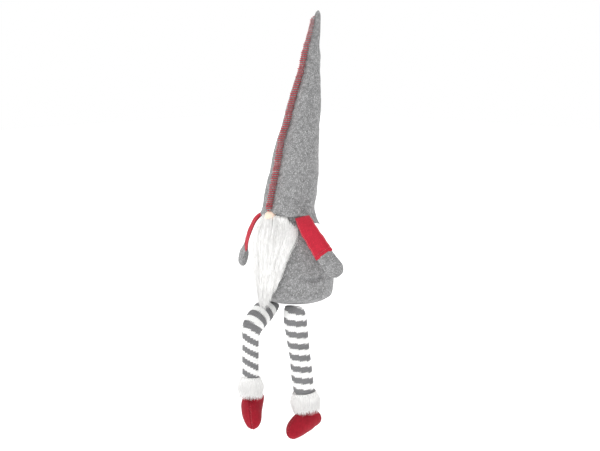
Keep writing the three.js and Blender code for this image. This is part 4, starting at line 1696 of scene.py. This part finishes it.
@dataclass
class Leg:
    """A long stuffed knit leg in stripes, with a fur cuff above its boot."""

    side: Side
    skew: float = 0.0  # how far the shin's stripes climb for each unit towards the gnome's front right
    slim: float = 1.0  # how far the shin is drawn in
    sway: float = 0.0  # how far the soft leg hangs to the gnome's left of its hinges
    twist_from: float = 39 * MM  # the stripes begin to climb this far down the leg
    radius: float = 12.5 * MM
    sections: tuple[Point, ...] = (
        (0, 13.2, 4), (4, 14, 8), (9, 14, 11), (17, 13.6, 12.8), (40, 12.8, 12.8), (62, 12.2, 12.2),
    )
    knee_reach: float = 15 * MM
    ankle_room: float = 10 * MM
    stripe_pitch: float = 14.6 * MM
    first_stripe: float = 3.5 * MM
    wales: int = 34
    courses: int = 8  # knitted rows in a stripe pitch
    cuff_from: float = 6 * MM
    cuff_to: float = 21 * MM

    def __post_init__(self) -> None:
        """Reads hip, knee and ankle from the frame's joints."""
        self.hip = anchor(f"hip_{self.side.word}")
        self.knee = anchor(f"knee_{self.side.word}")
        self.ankle = anchor(f"ankle_{self.side.word}")
        self.thigh_long = float(np.linalg.norm(self.knee - self.hip))
        self.long = self.thigh_long + float(np.linalg.norm(self.ankle - self.knee))
        steps = np.linspace(0, self.long, 900)
        first, last = self.slope(self.knee - self.hip), self.slope(self.ankle - self.knee)
        bend = smoothstep(steps, self.thigh_long - self.knee_reach, self.thigh_long + self.knee_reach)
        angle = first + (last - first) * bend
        ahead = np.stack([0 * angle, np.sin(angle), -np.cos(angle)], -1)
        middle = (ahead[1:] + ahead[:-1]) / 2 * (steps[1] - steps[0])
        centre = self.hip + np.vstack([np.zeros(3), np.cumsum(middle, axis=0)])
        self.steps, self.angle = steps, angle
        self.centre = centre + (self.ankle - centre[-1]) * bend[:, None]
        self.centre[:, 0] += self.sway * smoothstep(steps, 4 * MM, 42 * MM)

    @staticmethod
    def slope(way: Array) -> float:
        """The angle of a way down the leg, from straight down towards the back."""
        return math.atan2(way[1], -way[2])

    def surface(self, along: Array, turn: Array, off: Array | float = 0.0) -> Array:
        """Points of the leg at a distance along and a turn around it.

        Args:
            along: the distance along the leg.
            turn: the angle around, zero at the gnome's left.
            off: how far out from the surface.

        Returns:
            The points there.
        """
        centre = np.stack([np.interp(along, self.steps, self.centre[:, k]) for k in range(3)], -1)
        angle = np.interp(along, self.steps, self.angle)
        fore = np.stack([0 * angle, -np.cos(angle), -np.sin(angle)], -1)
        line = np.array(self.sections) * MM
        wide = np.interp(along, line[:, 0], line[:, 1])
        deep = np.interp(along, line[:, 0], line[:, 2])
        drawn = 1 - (1 - self.slim) * smoothstep(along, self.thigh_long - 10 * MM, self.thigh_long + 20 * MM)
        wide, deep = wide * drawn, deep * drawn
        x = np.cos(turn) * (wide + off)
        plain = centre + fore * (np.sin(turn) * (deep + off))[..., None]
        plain[..., 0] += x
        return plain

    def relief(self, along: Array, turn: Array) -> Array:
        """The stuffing's lumps and the folds inside the knee.

        Args:
            along: the distance along the leg.
            turn: the angle around, zero at the gnome's left.

        Returns:
            How far the surface stands out.
        """
        bend = abs(self.angle[-1] - self.angle[0])
        from_knee = along - self.thigh_long
        near_knee = np.exp(-((from_knee / (13 * MM)) ** 2)) * min(bend, 1.0)
        inside = smoothstep(-np.sin(turn), 0.1, 0.9) * near_knee
        folds = (np.cos(from_knee / (5.2 * MM) * 2 * np.pi) - 0.6) * 0.8 * MM * inside
        seed = 51 + self.side.value
        plain = self.surface(along, turn)
        return folds + lumps(plain, 24 * MM, seed) * 0.8 * MM + lumps(plain, 9 * MM, seed + 5) * 0.25 * MM

    def stripe(self, along: Array, turn: Array) -> Array:
        """Which stripe a point is in, counted in pitches.

        Args:
            along: the distance along the leg.
            turn: the angle around, zero at the gnome's left.

        Returns:
            The stripe, counted in pitches.
        """
        towards = (np.sin(turn) - np.cos(turn)) / math.sqrt(2) * self.radius
        twisted = smoothstep(along, self.twist_from, self.twist_from + 22 * MM)
        return (along + self.skew * towards * twisted - self.first_stripe) / self.stripe_pitch + 0.5

    def bind(self, piece: bpy.types.Object) -> bpy.types.Object:
        """Bakes a piece's transform into its mesh.

        Args:
            piece: the piece to work on.

        Returns:
            The same piece.
        """
        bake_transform(piece)
        return piece

    def build(self) -> list[bpy.types.Object]:
        """Makes the stuffed tube, its knitted face and the fur cuff.

        Returns:
            The pieces made.
        """
        word = self.side.word
        last = self.long - self.ankle_room
        turn = np.linspace(0, 2 * np.pi, 68, endpoint=False)
        turns, alongs = np.meshgrid(turn, np.linspace(0, last, 130))
        rings = self.surface(alongs, turns, self.relief(alongs, turns) - 0.25 * MM)
        skin = tube(f"leg_skin_{word}", rings)
        ends = [alongs[0, 0], alongs[-1, 0]]
        poles = [self.stripe(np.array(e), np.array(np.pi / 4)) for e in ends]
        store(skin, "stripe", np.concatenate([self.stripe(alongs, turns).ravel(), poles]))
        WARDROBE.dress(skin, STRIPED_KNIT)
        self.bind(skin)
        parts = [f"{part}_{kind}_{word}" for part in ("thigh", "shin") for kind in ("knit", "stuffing")]
        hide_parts(*parts)
        return [skin, self.knit(last), *self.cuff()]

    def knit(self, last: float) -> bpy.types.Object:
        """Rows of small V stitches over the whole leg.

        Args:
            last: how far along the leg the knit ends.

        Returns:
            The knitted face.
        """
        wide = 2 * math.pi * self.radius / self.wales
        tall = self.stripe_pitch / self.courses
        unit_parts = []
        for sign in (-1, 1):
            limb = ((-0.62, 0.05, 0.05), (0.05, 0.27, 0.34), (0.72, 0.4, 0.02))
            line = [(x * tall, sign * y * wide, z * MM) for x, y, z in limb]
            path = through(line, 3)
            fat = np.array([0.6, 1.0, 1.0, 0.6]) * wide * 0.235
            unit_parts.append(tube(f"knit_limb_{sign}", swept(path, fat, 4, np.array([0.0, 0.0, 1.0]))))
        stitch = unit_parts[0]
        joined(stitch, unit_parts)
        rows = int((last - 2 * MM) / tall)
        turn = np.linspace(0, 2 * np.pi, self.wales, endpoint=False)
        turns, alongs = np.meshgrid(turn, 1.5 * MM + np.arange(rows) * tall)
        turns, alongs = turns.ravel(), alongs.ravel()
        spots = self.surface(alongs, turns, self.relief(alongs, turns) - 0.2 * MM)
        ahead = unit(spots - self.surface(alongs + 1 * MM, turns))
        beside = self.surface(alongs, turns + 0.02) - self.surface(alongs, turns - 0.02)
        out = unit(np.cross(unit(beside), -ahead))
        away = np.stack([np.interp(alongs, self.steps, self.centre[:, k]) for k in range(3)], -1)
        out = out * np.sign(np.sum(out * (spots - away), axis=1, keepdims=True))
        piece = REPEATER.spread(
            f"leg_knit_{self.side.word}", stitch, spots, out, ahead, STRIPED_KNIT,
            jitter=0.05, seed=13, extra={"stripe": self.stripe(alongs, turns)},
        )
        drop(stitch)
        return self.bind(piece)

    def cuff(self) -> list[bpy.types.Object]:
        """The fur cuff: a soft ring and the pile that hangs from it.

        Returns:
            The pieces made.
        """
        word = self.side.word
        angle = self.angle[-1]
        down = np.array([0, math.sin(angle), -math.cos(angle)])
        fore = np.array([0, -math.cos(angle), -math.sin(angle)])
        left = np.array([1.0, 0, 0])
        turn = np.linspace(0, 2 * np.pi, 64, endpoint=False)
        ring = np.cos(turn)[:, None] * left + np.sin(turn)[:, None] * fore
        ankle = self.ankle + left * self.sway
        middle, half = (self.cuff_from + self.cuff_to) / 2, (self.cuff_to - self.cuff_from) / 2
        around = np.linspace(0, 2 * np.pi, 20, endpoint=False)
        radius = self.radius * self.slim + (1.7 + 1.4 * np.cos(around)) * MM
        height = middle + half * np.sin(around)
        vertices = ankle - down * height[:, None, None] + ring[None] * radius[:, None, None]
        faces = ring_faces(20, 64)
        faces += [(19 * 64 + i, 19 * 64 + (i + 1) % 64, (i + 1) % 64, i) for i in range(64)]
        ground = mesh_object(f"cuff_ground_{word}", vertices, faces)
        face_out(ground)
        # painted shade: the ring inside the fur gets the greyer pile colour
        WARDROBE.dress(ground, BEARD_SHADOW)
        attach(ground, f"shin_{word}")
        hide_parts(f"fur_cuff_{word}")
        random = np.random.default_rng(60 + self.side.value)
        count = 3600
        a = random.uniform(0, 2 * np.pi, count)
        way = np.cos(a)[:, None] * left + np.sin(a)[:, None] * fore
        round_at = random.uniform(-0.5 * np.pi, 0.6 * np.pi, count)
        root_height = middle + half * np.sin(round_at)
        root_radius = self.radius * self.slim + (1.6 + 1.4 * np.cos(round_at)) * MM
        root = ankle - down * root_height[:, None] + way * root_radius[:, None]
        t = np.linspace(0, 1, 7)
        high = smoothstep(root_height, self.cuff_from, self.cuff_to)
        long = random.uniform(7, 14, count) * MM * (0.75 + 0.25 * high)
        splay = random.uniform(0.0, 0.1, count) + 0.06 * smoothstep(np.sin(round_at), 0.3, 1.0)
        sideways = np.cross(down, way) * random.normal(0, 0.2, (count, 1))
        first = unit(way * (splay * 2.2)[:, None] + down * 0.6 + sideways)
        second = unit(way * (splay * 0.25)[:, None] + down + sideways)
        lines = root[:, None] + long[:, None, None] * (
            first[:, None] * (t - t**2 / 2)[None, :, None] + second[:, None] * (t**2 / 2)[None, :, None]
        ) * 1.25
        lines = lines + random.normal(0, 0.28, lines.shape) * MM * t[None, :, None]
        fur = STRANDS.grow(f"cuff_fur_{word}", lines, 0.26 * MM, WHITE_PILE)
        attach(fur, f"shin_{word}")
        return [ground, fur]


@dataclass
class Boot:
    """A stuffed felt boot of two side panels with a seam over its middle."""

    side: Side
    leg_tilt: float  # how far the leg tips the foot, forward side down
    inward: float  # how far the toe turns towards the other foot
    droop: float  # how far the toe hangs
    sections: tuple[tuple[float, float, float, float], ...] = (
        (12.8, -12, -18.6, 4.4), (11.4, -8, -23.4, 9.4), (8, -5.4, -26.2, 12.2), (1, -3, -27.2, 13.2),
        (-9, -1, -27.8, 13.2), (-18, -0.8, -27.6, 12.6), (-25, -2.6, -27.2, 11.6), (-31, -6.6, -26, 9.8),
        (-35.4, -11.4, -23.6, 7), (-37.8, -15.4, -20.2, 3),
    )
    curl: float = 1.5 * MM
    sway: float = 0.0  # how far the foot hangs to the gnome's left of its hinge
    neck_radius: float = 11.5 * MM
    voxel: float = 1.25 * MM

    def place(self, points: Array) -> Array:
        """Points of the boot's own frame, about the ankle, in the frame."""
        turn = turn_x(self.leg_tilt) @ turn_z(-self.side.value * self.inward) @ turn_x(self.droop)
        return anchor(f"ankle_{self.side.word}") + np.array([self.sway, 0, 0]) + points @ turn.T

    def toe_in(self, back: Array) -> Array:
        """How far the toe end curves towards the other foot."""
        return -self.side.value * self.curl * smoothstep(-np.asarray(back), 4 * MM, 40 * MM)

    def blank(self) -> bpy.types.Object:
        """Foot and neck of the boot as one smooth closed shape, in its own frame.

        Returns:
            The closed shape.
        """
        rows = through(np.array(self.sections) * MM, 54)
        t = np.linspace(0, 2 * np.pi, 48, endpoint=False)
        rings = np.stack(
            [
                np.stack([w * np.cos(t), y + 0 * t, (top + low) / 2 + (top - low) / 2 * np.sin(t)], -1)
                for y, top, low, w in rows
            ]
        )
        foot = tube("boot_foot", rings)
        heights = np.array([-19, -12, -7, -3.5, -1.4, -0.6]) * MM
        sizes = self.neck_radius * np.array([0.96, 1, 1, 1, 0.99, 0.93])
        level = np.stack([np.cos(t), np.sin(t), 0 * t], -1)
        neck_rings = np.stack([r * level + np.array([0, 0.4 * MM, h]) for r, h in zip(sizes, heights)])
        neck = tube("boot_neck", neck_rings)
        joined(foot, [foot, neck])
        remesh = foot.modifiers.new("skin", "REMESH")
        remesh.mode = "VOXEL"
        remesh.voxel_size = self.voxel
        relax = foot.modifiers.new("relax", "SMOOTH")
        relax.factor = 0.6
        relax.iterations = 9
        return baked(foot, f"boot_felt_{self.side.word}")

    def build(self) -> list[bpy.types.Object]:
        """Makes the boot and its seam stitches.

        Returns:
            The pieces made.
        """
        word = self.side.word
        boot = self.blank()
        work = bmesh.new()
        work.from_mesh(boot.data)
        bmesh.ops.subdivide_edges(work, edges=work.edges, cuts=1, use_grid_fill=True, smooth=0.6)
        work.to_mesh(boot.data)
        work.free()
        points = places(boot)
        normals = np.empty(len(points) * 3, np.float32)
        boot.data.vertices.foreach_get("normal", normals)
        normals = normals.reshape(-1, 3).astype(float)
        across, back = points[:, 0], points[:, 1]
        groove = -0.65 * MM * np.exp(-((across / (0.75 * MM)) ** 2))
        lip = 0.5 * MM * np.exp(-(((np.abs(across) - 1.7 * MM) / (0.9 * MM)) ** 2))
        pulls = np.sin((back - points[:, 2]) / (4.2 * MM) * 2 * np.pi)
        pulls = 0.3 * MM * pulls * np.exp(-np.abs(across) / (3.2 * MM))
        soft = lumps(points, 16 * MM, 71 + self.side.value) * 0.8 * MM + lumps(points, 6 * MM, 75) * 0.25 * MM
        points = points + normals * (groove + lip + pulls + soft)[:, None]
        points[:, 0] += self.toe_in(points[:, 1])
        move_to(boot, self.place(points))
        boot.data.shade_smooth()
        face_out(boot)
        WARDROBE.dress(boot, BOOT_FELT)
        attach(boot, f"foot_{word}")
        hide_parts(f"boot_inner_panel_{word}", f"boot_outer_panel_{word}", f"boot_stuffing_{word}")
        return [boot, self.stitches(boot)]

    def stitches(self, boot: bpy.types.Object) -> bpy.types.Object:
        """Stitches across the seam, over the vamp, the toe and the sole and up the heel.

        Args:
            boot: the boot that is sewn.

        Returns:
            The stitches as one piece.
        """
        rows = np.array(self.sections) * MM
        over = [(y, top) for y, top, _, _ in rows[::-1] if y < -9 * MM][::-1]
        under = [(y, low) for y, _, low, _ in rows[::-1]]
        back = [(12.4 * MM, -14 * MM), (11.9 * MM, -6 * MM)]
        route = evenly(through(np.array(over + under + back), 200), 64)
        middle = np.stack([self.toe_in(route[:, 0]), route[:, 0], route[:, 1]], -1)
        spots, outs = nearest_on(boot, self.place(middle))
        bent = ((0.35, -1.5, -0.3), (0.1, -0.8, 0.4), (-0.1, 0.8, 0.4), (-0.35, 1.5, -0.3))
        line = [(x * MM, y * MM, z * MM) for x, y, z in bent]
        stitch = thread_unit(f"boot_stitch_{self.side.word}", line, 0.24 * MM, 5, 5)
        piece = REPEATER.spread(
            f"boot_stitches_{self.side.word}", stitch, spots, outs, unit(np.gradient(spots, axis=0)),
            RED_THREAD, jitter=0.12, seed=8,
        )
        drop(stitch)
        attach(piece, f"foot_{self.side.word}")
        return piece


# ---------------------------------------------------------------- studio


@dataclass
class Studio:
    """A bright white room with the camera at the gnome's front left."""

    azimuth: float = math.radians(45)
    elevation: float = math.radians(6.5)
    target: Point = (4.3 * MM, 4.3 * MM, 93.2 * MM)
    distance: float = 3.0
    lens: float = 147.8
    floor: float = -0.62
    white: float = 1.0
    ambient: float = 0.78

    def back(self) -> Array:
        """The way from the target to the camera."""
        a, e = self.azimuth, self.elevation
        return np.array([math.sin(a) * math.cos(e), -math.cos(a) * math.cos(e), math.sin(e)])

    def aim(self, thing: bpy.types.Object, place: Array, at: Array) -> None:
        """Stands a camera or lamp at a place and turns it to look at a point."""
        thing.location = Vector(place)
        thing.rotation_euler = Vector(at - place).to_track_quat("-Z", "Y").to_euler()

    def lamp(self, name: str, place: Point, size: float, power: float, colour: Point = (1, 1, 1)) -> None:
        """A square soft light that faces the gnome.

        Args:
            name: its name.
            place: where it hangs.
            size: its width.
            power: its strength.
            colour: its colour.
        """
        data = bpy.data.lights.new(name, "AREA")
        data.size = size
        data.energy = power
        data.color = colour
        light = bpy.data.objects.new(name, data)
        bpy.context.scene.collection.objects.link(light)
        self.aim(light, np.array(place), np.array([0, 0, 0.08]))

    def build(self) -> None:
        """Makes world, floor, lights and camera."""
        scene = bpy.context.scene
        world = bpy.data.worlds.new("room")
        world.use_nodes = True
        world.node_tree.nodes["Background"].inputs["Color"].default_value = (1, 1, 1, 1)
        lit = world.node_tree.nodes["Background"]
        path = world.node_tree.nodes.new("ShaderNodeLightPath")
        share = world.node_tree.nodes.new("ShaderNodeMapRange")
        share.inputs["To Min"].default_value = self.ambient
        share.inputs["To Max"].default_value = self.white
        world.node_tree.links.new(path.outputs["Is Camera Ray"], share.inputs["Value"])
        world.node_tree.links.new(share.outputs["Result"], lit.inputs["Strength"])
        scene.world = world
        scene.view_settings.view_transform = "Standard"
        corners = [[x, y, self.floor] for x, y in ((-9, -9), (9, -9), (9, 9), (-9, 9))]
        floor = mesh_object("floor", np.array(corners), [(0, 1, 2, 3)])
        n = Nodes("pale_floor")
        glow = {"Emission_Color": (1, 1, 1, 1), "Emission_Strength": 0.6}
        floor.data.materials.append(n.finish(Base_Color=(0.95, 0.95, 0.95, 1), Roughness=0.9, **glow))
        self.lamp("key", (-0.75, -1.5, 1.4), 0.7, 17)
        self.lamp("fill", (1.7, -1.3, 0.5), 1.2, 9)
        self.lamp("rim", (0.6, 1.5, 1.2), 0.8, 6)
        data = bpy.data.cameras.new("view")
        data.sensor_width = 36
        data.lens = self.lens
        data.clip_end = 60
        camera = bpy.data.objects.new("view", data)
        scene.collection.objects.link(camera)
        target = np.array(self.target)
        self.aim(camera, target + self.back() * self.distance, target)
        scene.camera = camera


def main() -> None:
    """Builds the gnome's sub-assemblies in order and reports each piece."""
    logging.basicConfig(level=logging.INFO, format="%(name)s: %(message)s")
    degrees = math.radians
    parts = [
        Body(),
        Hat(),
        Nose(),
        Beard(),
        Arm(Side.LEFT),
        Arm(Side.RIGHT),
        Leg(Side.LEFT, skew=0.2, twist_from=-22 * MM),
        Leg(Side.RIGHT, skew=0.42, slim=0.78, sway=3 * MM, knee_reach=21 * MM),
        Boot(Side.LEFT, degrees(9.5), 0.0, degrees(12.5)),
        Boot(Side.RIGHT, 0.0, degrees(32), degrees(47), curl=5 * MM, sway=3 * MM),
    ]
    for part in parts:
        for piece in part.build():
            log.info("%s: %s, %d faces", type(part).__name__, piece.name, len(piece.data.polygons))
    WARDROBE.dress(frame["nodes"]["weight_bag"], BAG_CLOTH)
    Studio().build()


if __name__ == "__main__":
    main()
